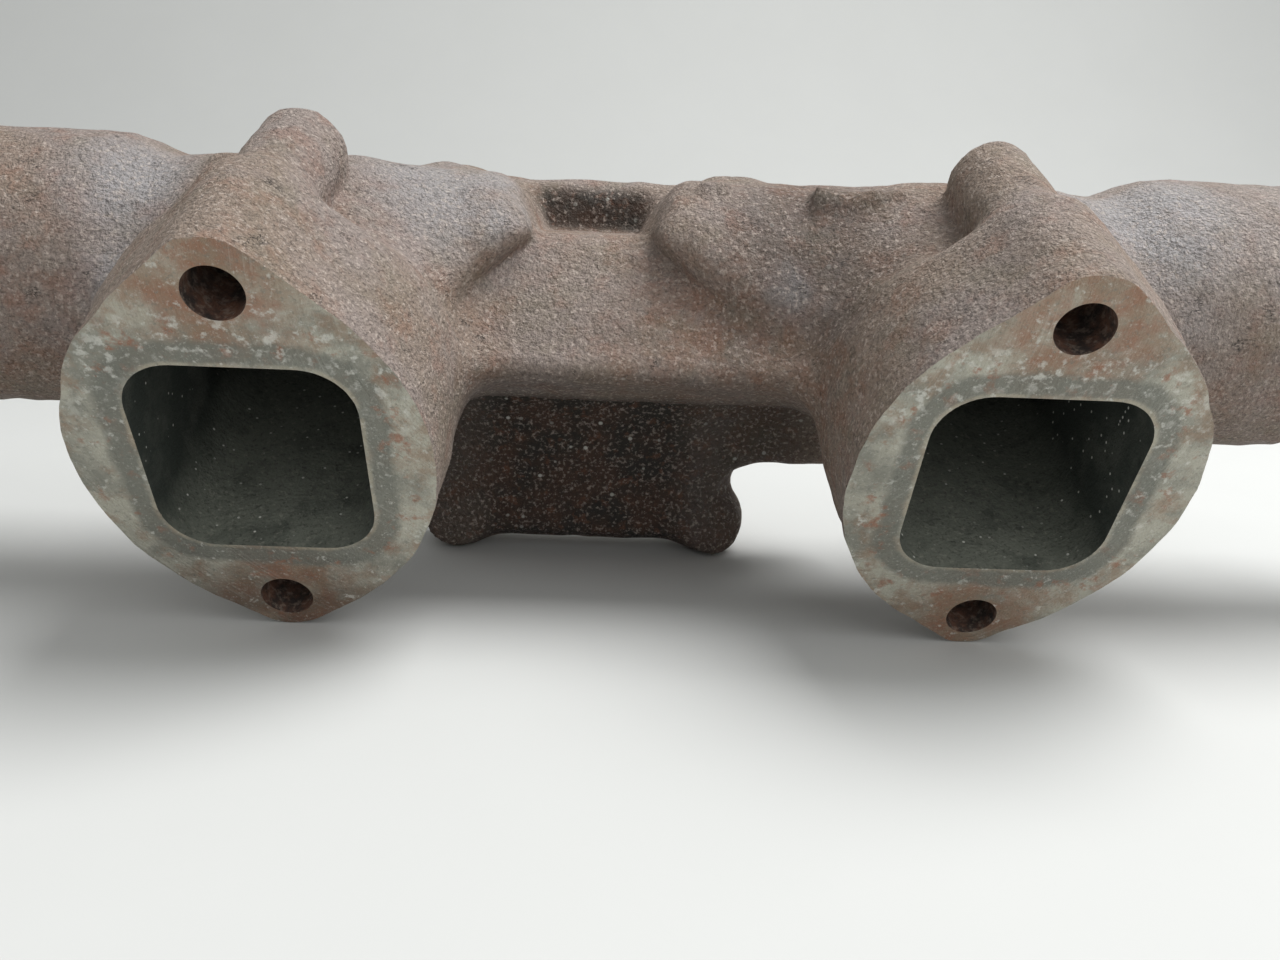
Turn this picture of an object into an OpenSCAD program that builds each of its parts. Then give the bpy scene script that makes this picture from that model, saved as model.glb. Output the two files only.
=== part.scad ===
// Centre section of a three-piece exhaust manifold for an inline truck engine.
// Two exhaust ports feed one log, a divider keeps their gas apart, and a twin-window
// flange carries the turbocharger. A slip sleeve with split sealing rings sits in the
// socket at each end of the log and joins the next section.
// The part stands as it lies on a bench: on the two lower port lugs and on the two
// lower lobes of the turbo flange. Millimetres, +Z up.

/* [Ports] */
// Distance between the two port centres
port_pitch = 150; // [145:1:160]
// Width of the port opening
port_w = 43; // [40:1:45]
// Height of the port opening
port_h = 46; // [42:1:48]
// Corner radius of the port opening
port_corner = 9; // [6:1:12]
// Half the width of the flange at the port centre
flange_half = 35; // [34:0.5:37]
// Radius of the bowed sides of the flange
side_r = 48; // [44:1:56]
// Depth of the thick flange block behind the port face
block_depth = 27; // [22:1:30]
// Distance between the upper and the lower bolt
bolt_pitch = 77; // [76:0.5:80]
// Diameter of the bolt holes
bolt_hole_d = 11; // [10:0.5:12]
// Radius of the upper lug
lug_r = 11; // [10:0.5:12]
// Radius of the lower lug
tip_r = 9; // [8.5:0.5:10]
// Radius of the long tube round each upper bolt
boss_r = 9.3; // [9:0.1:10]
// Length of the bolt tubes from the port face
boss_len = 57; // [54:1:62]
// How far the bolt tubes sit inwards of the bolts
boss_in = 1.5; // [0:0.5:2]

/* [Log] */
// Distance from the port face to the axis of the log
log_y = 64; // [62:1:66]
// Height of the log's axis above the port centres
log_z = 1; // [0:0.5:2]
// Outer radius of the log
log_r = 25.5; // [25:0.5:27]
// Radius of the log at its narrow middle
waist_r = 22; // [21:0.5:23]
// Radius of the gas passage in the log
log_bore_r = 20; // [18:0.5:20.5]
// Half the length of the casting
half_len = 153; // [150:1:158]
// Outer radius of the sockets
socket_r = 31; // [30:0.5:32]
// Radius of the bored seat in each socket
socket_bore_r = 24.5; // [24:0.1:25]
// Depth of the bored seat
socket_depth = 42; // [40:1:44]

/* [Turbo flange] */
// Sideways place of the turbo flange
turbo_x = -12; // [-14:1:-8]
// Stud spacing across
stud_dx = 70; // [68:1:72]
// Stud spacing up and down
stud_dz = 83; // [82:1:85]
// Radius of the four corner lobes
lobe_r = 9.5; // [9:0.5:10]
// How far the edges sit inside the lobes
edge_inset = 4.3; // [3:0.1:5]
// Thickness of the turbo flange
turbo_t = 14; // [12:1:16]
// Thickness of the divider between the two gas paths
divider_t = 8; // [6:1:10]
// Length of stud standing out of the flange
stud_out = 28; // [20:1:35]
// Thread diameter of the studs
stud_d = 10; // [8:1:12]

/* [Slip joint] */
// Outer radius of the sleeve
sleeve_r = 24.2; // [23.6:0.1:24.2]
// Radius of the gas passage in the sleeve
sleeve_bore_r = 19.5; // [18:0.5:19.5]
// Reach of the sleeve into each socket
sleeve_reach = 38; // [34:1:38]
// Radius of the collar between the two sockets
collar_r = 29; // [27:0.5:29]
// Width of the collar
collar_w = 6; // [5:1:8]
// Gap between the socket's mouth and the collar
collar_gap = 10; // [9:1:12]
// Width of a sealing ring
ring_w = 3; // [2.5:0.1:3]
// Radial thickness of a sealing ring
ring_t = 2.3; // [2:0.1:2.3]
// Split in each sealing ring, in degrees
ring_split = 3; // [2:0.5:5]

/* [Stance] */
// Lean of the port faces when the part stands on a bench
lean = 30; // [28:1:32]

/* [Hidden] */
$fn = 96;
EPS = 0.5;
RINGS = 3;
ring_pitch = 7;
first_ring = 15;
ring_clear = 0.05;
groove_w = ring_w + 0.2;
groove_r = socket_bore_r - ring_clear - ring_t - 0.3;
shoulder_in = half_len - 50;
shoulder_out = half_len - 37;
waist_half = 26;
waist_run = 12;
mouth_chamfer = 1.5;
runner_w = 62;
runner_h = 61;
runner_corner = 22;
duct_half = 34;
web_half = 52;
shelf_y = 24;
lip_y = 3;
lip_z = 60;
hollow_top = 12;
hollow_low = 42;
sweep_half = 56;
arch_foot = 35;
arch_span = 40;
upper_boss = 26;
lower_boss = 6;
boss_seat = 1;
stud_chamfer = 1;
side_x = flange_half - side_r;
bolt_z = bolt_pitch / 2;
tip_drop = bolt_z + tip_r;
// The log's axis on the bench
axis_y = log_y * cos(lean) - (log_z + tip_drop) * sin(lean);
axis_z = log_y * sin(lean) + (log_z + tip_drop) * cos(lean);
turbo_front = 66.5;
turbo_face = turbo_front + turbo_t;
turbo_z = stud_dz / 2 + lobe_r;
turbo_edge_w = stud_dx + 2 * (lobe_r - edge_inset);
turbo_edge_h = stud_dz + 2 * (lobe_r - edge_inset);
stud_hole_deep = 18;
stud_clear = 0.05;
stud_pitch_r = 0.4513 * stud_d;
relief_clear = 0.3;
relief_deep = 1;
window_w = 24;
window_lo = 22;
trough_floor = 87;
throat_r = 11;
throat_long = 38;
roof = 8;
throat_z = trough_floor - roof - throat_r;
window_hi = trough_floor - roof;
shelf_z = trough_floor + EPS;
shelf_lean = atan2(shelf_z - lip_z, shelf_y - lip_y);
shelf_len = norm([shelf_y - lip_y, shelf_z - lip_z]);
bore_from = 36;
arch_r = 14;
front_reach = (bolt_z + lug_r + tip_drop) * sin(lean);
centre_y = (turbo_face + stud_out - front_reach) / 2;

function along(a) = [cos(a), sin(a)];
function turned(a) = [for (p = [0 : len(a) - 1]) [-a[len(a) - 1 - p][0], a[len(a) - 1 - p][1]]];
// Angle at which a straight edge leaves the bowed side for a lug centred at (0, z)
function leave(z, r) =
    let (d = [-side_x, z], turn = acos((side_r - r) / norm(d))) atan2(d[1], d[0]) - sign(z) * turn;

// Children are placed on the bench: y = 0 above the tips of the lower lugs
module bench() translate([0, -centre_y, 0]) children();

// Children use the engine's axes: port faces on y = 0, port centres at z = 0
module engine() bench() rotate([lean, 0, 0]) translate([0, 0, tip_drop]) children();

// A flat outline standing in the XZ plane, given depth towards +Y
module deep(y0, y1) translate([0, y1, 0]) rotate([90, 0, 0]) linear_extrude(y1 - y0) children();

// A flat outline in the YZ plane, given width along X
module wide(x0, x1)
    translate([x0, 0, 0]) rotate([90, 0, 90]) linear_extrude(x1 - x0) children();

module rounded(w, h, r) {
    square([w, h - 2 * r], center = true);
    square([w - 2 * r, h], center = true);
    for (x = [-1, 1], z = [-1, 1])
        translate([x * (w / 2 - r), z * (h / 2 - r)]) circle(r);
}

module flange_outline() {
    top = leave(bolt_z, lug_r);
    low = leave(-bolt_z, tip_r);
    steps = 24;
    right = concat(
        [[0, bolt_z] + lug_r * along(top)],
        [for (i = [0 : steps]) [side_x, 0] + side_r * along(top + (low - top) * i / steps)],
        [[0, -bolt_z] + tip_r * along(low)]
    );
    polygon(concat(right, turned(right)));
    translate([0, bolt_z]) circle(lug_r);
    translate([0, -bolt_z]) circle(tip_r);
}

module turbo_outline() {
    square([turbo_edge_w, turbo_edge_h], center = true);
    for (x = [-1, 1], z = [-1, 1])
        translate([x * stud_dx / 2, z * stud_dz / 2]) circle(lobe_r);
}

module on_axis() translate([0, log_y, log_z]) children();

// One half of the log's outside: narrow middle, plain pipe, rounded shoulder, socket
module log_half() rotate_extrude() polygon(concat(
    [[0, 0], [waist_r, 0], [waist_r, waist_half], [log_r, waist_half + waist_run], [log_r, shoulder_in]],
    [for (t = [10 : 10 : 170])
        [(log_r + socket_r) / 2 - (socket_r - log_r) / 2 * cos(t),
         shoulder_in + (shoulder_out - shoulder_in) * t / 180]],
    [[socket_r, shoulder_out], [socket_r, half_len - mouth_chamfer],
     [socket_r - mouth_chamfer, half_len], [0, half_len]]
));

module log_body() on_axis() for (s = [-1, 1]) rotate([0, s * 90, 0]) log_half();

module log_bores() on_axis() for (s = [-1, 1]) rotate([0, s * 90, 0]) {
    from = s * turbo_x + bore_from;
    translate([0, 0, from]) cylinder(r = log_bore_r, h = half_len - socket_depth - from + EPS);
    translate([0, 0, half_len - socket_depth])
        cylinder(r = socket_bore_r, h = socket_depth + EPS);
}

// The two port blocks, the runners behind them and the long tubes of the upper bolts
module port_bodies() for (s = [-1, 1]) translate([s * port_pitch / 2, 0, 0]) {
    deep(0, block_depth) flange_outline();
    deep(block_depth - EPS, log_y) rounded(runner_w, runner_h, runner_corner);
    translate([-s * boss_in, boss_len, bolt_z]) rotate([90, 0, 0]) 
        cylinder(r = boss_r, h = boss_len - boss_seat);
}

// The web between the runners: a shelf that slopes down and forwards to a lip over the arch
module web() wide(-web_half, web_half) polygon([
    [shelf_y, shelf_z], [lip_y, lip_z], [lip_y + 1, lip_z - 4], [lip_y + 6, lip_z - 6.5],
    [30, 51], [52, 58], [58, shelf_z]
]);

// The hollow over the web, cut out of the log: narrow at the dip, wide at the lip
module hollow() translate([turbo_x, shelf_y, shelf_z]) rotate([shelf_lean, 0, 0])
    translate([0, 0, -EPS]) linear_extrude(40) polygon([
        [-hollow_top, 4], [hollow_top, 4], [hollow_low, -shelf_len], [-hollow_low, -shelf_len]
    ]);

// The dip over the middle of the log, up to the front of the turbo flange
module trough() translate([turbo_x, 0, 0]) deep(-10, turbo_front)
    polygon([[-11, trough_floor], [11, trough_floor], [21, 112], [-21, 112]]);

// Side view of the duct from the log down to the turbo flange
module duct_side() polygon([
    [turbo_front + 1, 5], [turbo_front + 1, turbo_edge_h + 4],
    [52, 88], [axis_y, axis_z], [36, 53], [49, 38], [58, 20], [62, 7]
]);

module turbo_duct() translate([turbo_x, 0, 0]) wide(-duct_half, duct_half) duct_side();

// An arch over the bench with its foot at x = 0, open on its +X side
module arch_cut() {
    translate([arch_r, arch_r]) circle(arch_r);
    translate([0, -EPS]) square([arch_span, arch_r + EPS]);
    translate([arch_r, 0]) square([arch_span - arch_r, 2 * arch_r]);
}

// The lower halves of the runners, swept inwards to the duct, with an arch under each
module sweeps() difference() {
    wide(-sweep_half, sweep_half) duct_side();
    for (s = [0, 1])
        translate([turbo_x, 0, 0]) mirror([s, 0, 0]) translate([arch_foot, 0, 0])
            deep(-1, turbo_front + 2) arch_cut();
}

// The turbo flange with its two upper bosses, which reach forwards over the log
module turbo_flange() translate([turbo_x, 0, turbo_z]) {
    deep(turbo_front, turbo_face) turbo_outline();
    for (x = [-1, 1], z = [-1, 1])
        translate([x * stud_dx / 2, turbo_front + EPS, z * stud_dz / 2]) rotate([90, 0, 0])
            cylinder(r1 = lobe_r, r2 = lobe_r - (z > 0 ? 0.5 : 2), h = z > 0 ? upper_boss : lower_boss);
}

// The gas passages from the log down to the two windows of the turbo flange
module turbo_windows() translate([turbo_x, 0, 0]) for (s = [-1, 1]) {
    translate([s * (divider_t + window_w) / 2, 0, 0]) wide(-window_w / 2, window_w / 2) polygon([
        [axis_y, 60], [46, 58], [56, 42], [64, window_lo], [turbo_face + EPS, window_lo],
        [turbo_face + EPS, window_hi], [axis_y, window_hi]
    ]);
    translate([s * divider_t / 2, axis_y + 2, throat_z]) rotate([0, s * 90, 0])
        cylinder(r = throat_r, h = throat_long);
}

// A plain raised pad for foundry marks, on top of the log
module mark_pad() on_axis() rotate([13, 0, 0]) translate([35, -5, 20]) cube([36, 10, 8.5]);

module stud_places() for (i = [0 : 3])
    if ($stud == 0 || $stud == i + 1)
        translate([turbo_x + (i % 2 - 0.5) * stud_dx, turbo_face, turbo_z + (floor(i / 2) - 0.5) * stud_dz])
            rotate([-90, 0, 0]) children();

module manifold_casting() color("rosybrown") difference() {
    union() {
        difference() {
            union() {
                difference() {
                    engine() log_body();
                    bench() hollow();
                }
                bench() {
                    web();
                    turbo_duct();
                    sweeps();
                }
            }
            bench() trough();
        }
        engine() {
            port_bodies();
            mark_pad();
        }
        bench() turbo_flange();
    }
    engine() {
        for (x = [-1, 1]) translate([x * port_pitch / 2, 0, 0]) {
            deep(-EPS, log_y) rounded(port_w, port_h, port_corner);
            for (z = [bolt_z, -bolt_z])
                translate([0, boss_len + EPS, z]) rotate([90, 0, 0])
                    cylinder(d = bolt_hole_d, h = boss_len + 2 * EPS);
        }
        log_bores();
    }
    bench() {
        turbo_windows();
        $stud = 0;
        stud_places() {
            translate([0, 0, -stud_hole_deep])
                cylinder(r = stud_pitch_r + stud_clear, h = stud_hole_deep + EPS);
            translate([0, 0, -relief_deep])
                cylinder(r = stud_d / 2 + relief_clear, h = relief_deep + EPS);
        }
    }
}

// Children lie along the log's axis, z = 0 in the mouth of the socket, +Z outwards
module joint_axis(s) engine() on_axis() translate([s * half_len, 0, 0]) rotate([0, s * 90, 0])
    children();

collar_z = collar_gap + collar_w / 2;
function ring_z(end, n) =
    end == "socket" ? -first_ring - (n - 1) * ring_pitch
                    : 2 * collar_z + first_ring + (n - 1) * ring_pitch;

module slip_sleeve(s) color("dimgray") joint_axis(s) difference() {
    union() {
        translate([0, 0, -sleeve_reach]) cylinder(r = sleeve_r, h = 2 * (sleeve_reach + collar_z));
        translate([0, 0, collar_gap]) cylinder(r = collar_r, h = collar_w);
    }
    translate([0, 0, -sleeve_reach - EPS])
        cylinder(r = sleeve_bore_r, h = 2 * (sleeve_reach + collar_z + EPS));
    for (end = ["socket", "outer"], n = [1 : RINGS])
        translate([0, 0, ring_z(end, n) - groove_w / 2]) difference() {
            cylinder(r = sleeve_r + EPS, h = groove_w);
            translate([0, 0, -EPS]) cylinder(r = groove_r, h = groove_w + 2 * EPS);
        }
}

module seal_ring(s, end, n) color("silver") joint_axis(s)
    translate([0, 0, ring_z(end, n) - ring_w / 2]) rotate([0, 0, 120 * n])
        rotate_extrude(angle = 360 - ring_split)
            translate([socket_bore_r - ring_clear - ring_t, 0]) square([ring_t, ring_w]);

// The buried thread and its hole are at the thread's pitch diameter, the free end at its outer one
module turbo_stud(i) {
    $stud = i;
    color("gray") bench() stud_places() {
        translate([0, 0, 1 - stud_hole_deep]) cylinder(r = stud_pitch_r, h = stud_hole_deep + EPS);
        translate([0, 0, EPS]) cylinder(d = stud_d, h = stud_out - stud_chamfer - EPS);
        translate([0, 0, stud_out - stud_chamfer])
            cylinder(d1 = stud_d, d2 = stud_d - 2 * stud_chamfer, h = stud_chamfer);
    }
}

manifold_casting();
for (side = ["left", "right"]) {
    s = side == "left" ? -1 : 1;
    slip_sleeve(s);
    for (end = ["socket", "outer"], n = [1 : RINGS])
        seal_ring(s, end, n);
}
for (n = [1 : 4])
    turbo_stud(n);
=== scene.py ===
"""Centre section of a cast-iron exhaust manifold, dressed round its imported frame.

The casting is poured as a distance field in millimetres: bodies that melt into each other with fillets,
less the gas passages. It is then skinned and machined: faces milled, sockets bored and bolt holes drilled.
"""

import itertools
import math

import bmesh
import bpy
import numpy as np
from mathutils import Matrix, Vector


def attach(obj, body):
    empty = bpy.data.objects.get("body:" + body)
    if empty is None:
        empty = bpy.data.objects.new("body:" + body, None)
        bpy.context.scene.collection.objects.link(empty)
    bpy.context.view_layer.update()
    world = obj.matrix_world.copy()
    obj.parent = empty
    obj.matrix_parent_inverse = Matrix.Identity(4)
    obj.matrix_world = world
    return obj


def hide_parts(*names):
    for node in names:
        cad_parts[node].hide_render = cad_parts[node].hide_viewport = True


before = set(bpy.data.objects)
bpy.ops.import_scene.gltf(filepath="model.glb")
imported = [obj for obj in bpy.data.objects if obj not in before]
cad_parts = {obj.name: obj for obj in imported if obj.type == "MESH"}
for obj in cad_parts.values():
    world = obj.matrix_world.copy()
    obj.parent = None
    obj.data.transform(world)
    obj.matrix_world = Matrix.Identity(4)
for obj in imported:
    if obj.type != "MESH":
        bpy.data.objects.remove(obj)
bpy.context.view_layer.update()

bl_info = {
    "name": "Exhaust manifold section",
    "version": (1, 0, 0),
    "blender": (4, 5, 0),
    "location": "3D View > Sidebar > Manifold",
    "description": "Builds a rusted cast-iron manifold section with its slip sleeves, rings and studs",
    "category": "Object",
}

MM = 0.001

# The part's sizes, in millimetres. Most are its solids' own. The port corners, the blocks' backs, the log,
# the runners, the web, the hollow and the sweeps are the casting's, up to 6 mm off the solids.
LEAN = math.radians(30)
PORT_X = 75.0
PORT_W, PORT_H, PORT_CORNER = 43.0, 46.0, 10.5
FLANGE_HALF, SIDE_R = 35.0, 48.0
BOLT_Z, LUG_R, TIP_R = 38.5, 11.0, 9.0
BOLT_R = 5.5
TIP_DROP = BOLT_Z + TIP_R
BLOCK_DEPTH, BLOCK_BACK = 27.0, 33.0
LOG_Y, LOG_Z = 64.0, 1.0
LOG_R, LOG_BORE_R = 26.0, 20.0
HALF_LEN = 153.0
SOCKET_R, SEAT_R, SEAT_DEPTH = 31.0, 24.5, 42.0
TURBO_X = -12.0
STUD_DX, STUD_DZ, LOBE_R, EDGE_INSET = 70.0, 83.0, 9.5, 4.3
TURBO_FRONT, TURBO_FACE = 66.5, 80.5
TURBO_Z = STUD_DZ / 2 + LOBE_R
STUD_R, STUD_OUT, STUD_DEEP = 5.0, 28.0, 18.0
PITCH_R = 0.4513 * 2 * STUD_R
STUD_HOLE_R = PITCH_R + 0.05
DIVIDER, WINDOW_W, WINDOW_LO, WINDOW_HI = 8.0, 24.0, 22.0, 79.0
THROAT_R, THROAT_Z = 11.0, 68.0
BORE_FROM = 36.0
SHELF_Y, SHELF_Z, LIP_Y, LIP_Z = 24.0, 87.5, 3.0, 60.0
HOLLOW_TOP, HOLLOW_LOW = 11.0, 46.0
RELIEF_R, RELIEF_DEEP = 5.3, 1.0
SLEEVE_R, SLEEVE_BORE_R, REACH = 24.2, 19.5, 38.0
COLLAR_R, COLLAR_W, COLLAR_GAP = 29.0, 6.0, 10.0
RING_W, RING_T, RING_SPLIT = 3.0, 2.3, 3.0
RING_PITCH, FIRST_RING = 7.0, 15.0
TROUGH_FLOOR = 87.0
ARCH_R = 14.0
CENTRE_Y = 30.0
SEED = 41
RUNNER_HALF_W, RUNNER_HALF_H, RUNNER_CORNER = 32.0, 31.0, 24.0
WEB_HALF, DUCT_HALF, SWEEP_HALF, FOOT_HALF = 56.0, 34.0, 58.0, 35.0
TROUGH_HALF, TROUGH_FLARE = 12.0, 0.42
# Iron left proud of a face until it is milled
PORT_STOCK, FLANGE_STOCK = 6.0, 5.0
# A bolt tube, as places from its port's centre: across, behind the face and up
TUBE_R = 9.2
TUBE_FOOT, TUBE_END = (0, 12, BOLT_Z), (-3.1, 58.5, 37.0)
TUBE_BORE = (-1.5, BLOCK_DEPTH - 4, 37.6), (-3.5, 66, 36.6)

# The camera, in metres, degrees and millimetres, as fitted to the two port flanges
CAMERA_PLACE = (-0.009874, -0.26291, 0.08765)
CAMERA_TURN = (77.3005, -2.4769, -1.9523)
CAMERA_LENS = 30.894

# The log's axis over the bench
AXIS_Y = LOG_Y * math.cos(LEAN) - (LOG_Z + TIP_DROP) * math.sin(LEAN)
AXIS_Z = LOG_Y * math.sin(LEAN) + (LOG_Z + TIP_DROP) * math.cos(LEAN)


# --------------------------------------------------------------------------------------------------
# Places

def engine_point(x, y, z):
    """A point given from the port faces, in millimetres, as the frame has it, in metres."""
    c, s = math.cos(LEAN), math.sin(LEAN)
    z = z + TIP_DROP
    return Vector((x, y * c - z * s - CENTRE_Y, y * s + z * c)) * MM


def bench_point(x, y, z):
    """A point over the bench, in millimetres from the lower lugs, as the frame has it, in metres."""
    return Vector((x, y - CENTRE_Y, z)) * MM


def engine_axes(y, z):
    """Depth behind the port faces and height over the port centres, for points over the bench."""
    c, s = math.cos(LEAN), math.sin(LEAN)
    return y * c + z * s, z * c - y * s - TIP_DROP


# --------------------------------------------------------------------------------------------------
# Distance fields, in millimetres, negative inside

def melt(a, b, fillet):
    """Two bodies as one, with a fillet of about that size where they meet."""
    h = np.clip(0.5 + 0.5 * (b - a) / fillet, 0, 1)
    return b + (a - b) * h - fillet * h * (1 - h)


def carve(a, b, fillet):
    """Body a less body b, with the edge rounded."""
    return -melt(-a, b, fillet)


def ramp(v, low, high):
    t = np.clip((v - low) / (high - low), 0, 1)
    return t * t * (3 - 2 * t)


def slab(outline, along, low, high, edge):
    """A flat outline given depth from low to high, with its edges rounded."""
    side = outline + edge
    ends = np.abs(along - (low + high) / 2) - (high - low) / 2 + edge
    return np.hypot(np.maximum(side, 0), np.maximum(ends, 0)) + np.minimum(np.maximum(side, ends), 0) - edge


def plate(u, v, half_u, half_v, corner):
    """A rounded rectangle."""
    du, dv = np.abs(u) - half_u + corner, np.abs(v) - half_v + corner
    return np.hypot(np.maximum(du, 0), np.maximum(dv, 0)) + np.minimum(np.maximum(du, dv), 0) - corner


def rod(x, y, z, start, end, radius, edge=2.0):
    """A round bar between two points, with its ends rounded."""
    a, b = np.array(start), np.array(end)
    axis = (b - a) / np.linalg.norm(b - a)
    px, py, pz = x - a[0], y - a[1], z - a[2]
    along = px * axis[0] + py * axis[1] + pz * axis[2]
    out = np.sqrt(np.maximum(px * px + py * py + pz * pz - along * along, 0))
    return slab(out - radius, along, 0, np.linalg.norm(b - a), edge)


def outline(corners, u, v):
    """Distance to a closed outline, looked up in a fine table."""
    step = 0.5
    p = np.array(corners, float)
    low = p.min(0) - 60
    n = np.ceil((p.max(0) + 60 - low) / step).astype(int) + 1
    gu, gv = np.meshgrid(low[0] + step * np.arange(n[0]), low[1] + step * np.arange(n[1]), indexing="ij")
    best = np.full(gu.shape, 1e9)
    inside = np.zeros(gu.shape, bool)
    for a, b in zip(p, np.roll(p, -1, 0)):
        e = b - a
        t = np.clip(((gu - a[0]) * e[0] + (gv - a[1]) * e[1]) / (e @ e + 1e-12), 0, 1)
        best = np.minimum(best, (gu - a[0] - t * e[0]) ** 2 + (gv - a[1] - t * e[1]) ** 2)
        if a[1] != b[1]:
            crosses = (gv < a[1]) != (gv < b[1])
            inside ^= crosses & (gu < a[0] + (gv - a[1]) * e[0] / e[1])
    table = np.where(inside, -1, 1) * np.sqrt(best)
    fu = np.clip((u - low[0]) / step, 0, n[0] - 1.001)
    fv = np.clip((v - low[1]) / step, 0, n[1] - 1.001)
    iu, iv = fu.astype(int), fv.astype(int)
    tu, tv = fu - iu, fv - iv
    near = table[iu, iv] * (1 - tu) + table[iu + 1, iv] * tu
    far = table[iu, iv + 1] * (1 - tu) + table[iu + 1, iv + 1] * tu
    return near * (1 - tv) + far * tv


def lumps(x, y, z, size, seed):
    """Smooth random unevenness between -1 and 1, with lumps of that size."""
    rng = np.random.default_rng(seed)
    lattice = rng.uniform(-1, 1, (64, 64, 64)).astype(np.float32)
    total = 0.0
    cells, weights = [], []
    for v in (x, y, z):
        f = v / size + 512
        i = np.floor(f).astype(int)
        t = f - i
        cells.append((i % 64, (i + 1) % 64))
        t = t * t * (3 - 2 * t)
        weights.append((1 - t, t))
    for a, b, c in itertools.product((0, 1), repeat=3):
        share = weights[0][a] * weights[1][b] * weights[2][c]
        total = total + lattice[cells[0][a], cells[1][b], cells[2][c]] * share
    return total


def flange_corners():
    """The port flange: two bowed sides, and straight edges to an upper and a lower lug."""
    cx = FLANGE_HALF - SIDE_R

    def leave(z, r):
        d = (-cx, z)
        turn = math.acos((SIDE_R - r) / math.hypot(*d))
        return math.atan2(d[1], d[0]) - math.copysign(turn, z)

    def arc(x, z, r, start, end, steps):
        turns = [start + (end - start) * i / steps for i in range(steps + 1)]
        return [(x + r * math.cos(t), z + r * math.sin(t)) for t in turns]

    top, low = leave(BOLT_Z, LUG_R), leave(-BOLT_Z, TIP_R)
    right = (arc(0, BOLT_Z, LUG_R, math.pi / 2, top, 6) + arc(cx, 0, SIDE_R, top, low, 20)
             + arc(0, -BOLT_Z, TIP_R, low, -math.pi / 2, 6))
    return right + [(-x, z) for x, z in reversed(right[1:-1])]


DUCT_SIDE = [(TURBO_FRONT + 6, 5), (TURBO_FRONT + 6, 99), (58, 92), (AXIS_Y + 6, AXIS_Z + 10),
             (AXIS_Y, AXIS_Z),
             (38, 54), (50, 40), (58, 22), (62, 7)]

# Outer radius of the log along its length, from the middle outwards
LOG_PROFILE = ((0, LOG_R), (101, LOG_R), (104, LOG_R + 0.3), (108, LOG_R + 1.6), (112, LOG_R + 3.4),
               (116, LOG_R + 4.6), (120, SOCKET_R), (170, SOCKET_R))


def passages(x, y, z):
    """The gas passages: port to log, along the log, and down to the turbo windows."""
    ye, ze = engine_axes(y, z)
    u = np.abs(x) - PORT_X
    port = slab(plate(u, ze, PORT_W / 2, PORT_H / 2, PORT_CORNER), ye, -12, LOG_Y + 4, 10)
    log = np.hypot(ye - LOG_Y, ze - LOG_Z) - LOG_BORE_R
    log = np.maximum(log, BORE_FROM - np.abs(x - TURBO_X))
    log = np.maximum(log, np.abs(x) - (HALF_LEN - SEAT_DEPTH + 4))
    gas = melt(port, log, 8)
    w = np.abs(x - TURBO_X) - (DIVIDER + WINDOW_W) / 2
    side = outline([(AXIS_Y, 60), (46, 58), (56, 42), (64, WINDOW_LO), (TURBO_FACE + 9, WINDOW_LO),
                    (TURBO_FACE + 9, WINDOW_HI), (AXIS_Y, WINDOW_HI)], y, z)
    window = slab(side, w, -WINDOW_W / 2, WINDOW_W / 2, 4)
    ends = np.maximum(DIVIDER / 2 - np.abs(x - TURBO_X), np.abs(x - TURBO_X) - 42)
    throat = np.maximum(np.hypot(y - AXIS_Y - 2, z - THROAT_Z) - THROAT_R, ends)
    return melt(melt(gas, throat, 4), window, 5)


def ports_body(u, ye, ze, fillet):
    """The two port blocks and the runners behind them."""
    block = slab(outline(flange_corners(), u, ze), ye, -PORT_STOCK, BLOCK_BACK, 7)
    runner = slab(plate(u, ze, RUNNER_HALF_W, RUNNER_HALF_H, RUNNER_CORNER), ye, 8, LOG_Y + 6, 12)
    return melt(block, runner, fillet * 0.7)


def log_body(x, y, z):
    """The log with its sockets, hollowed over the web, and the web that runs down to the arch."""
    ye, ze = engine_axes(y, z)
    log = np.hypot(ye - LOG_Y, ze - LOG_Z) - np.interp(np.abs(x), *zip(*LOG_PROFILE))
    log = np.maximum(log, np.abs(x) - HALF_LEN - PORT_STOCK)
    # The hollow is narrow at the dip and wide at the lip
    slope = math.atan2(SHELF_Z - LIP_Z, SHELF_Y - LIP_Y)
    proud = (z - SHELF_Z) * math.cos(slope) - (y - SHELF_Y) * math.sin(slope)
    spread = np.interp(z, [LIP_Z, SHELF_Z], [HOLLOW_LOW, HOLLOW_TOP])
    hollow = np.maximum((np.abs(x - TURBO_X) - spread) * 0.62, 0.5 - proud)
    # The web is a shelf that slopes down and forwards to a lip over the arch
    web_side = [(SHELF_Y, SHELF_Z), (LIP_Y, LIP_Z), (LIP_Y + 0.5, LIP_Z - 3), (LIP_Y + 4, LIP_Z - 5.5),
                (30, 52), (52, 58), (58, SHELF_Z)]
    web = slab(outline(web_side, y, z), x, -WEB_HALF, WEB_HALF, 4)
    return melt(carve(log, hollow, 9), web, 4.5)


def duct_body(x, y, z):
    """The turbo duct, and the sweeps that widen it on both sides, with an arch under each."""
    side = outline(DUCT_SIDE, y, z)
    duct = slab(side, x - TURBO_X, -DUCT_HALF, DUCT_HALF, 8)
    foot = np.abs(x - TURBO_X) - FOOT_HALF
    round_top = np.hypot(foot - ARCH_R, z - ARCH_R) - ARCH_R
    arch = np.minimum(round_top, np.maximum(ARCH_R - foot, z - 2 * ARCH_R))
    arch = np.minimum(arch, np.maximum(-foot, z - ARCH_R))
    sweeps = carve(slab(side, x, -SWEEP_HALF, SWEEP_HALF, 8), arch, 4)
    return melt(duct, sweeps, 5)


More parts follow.
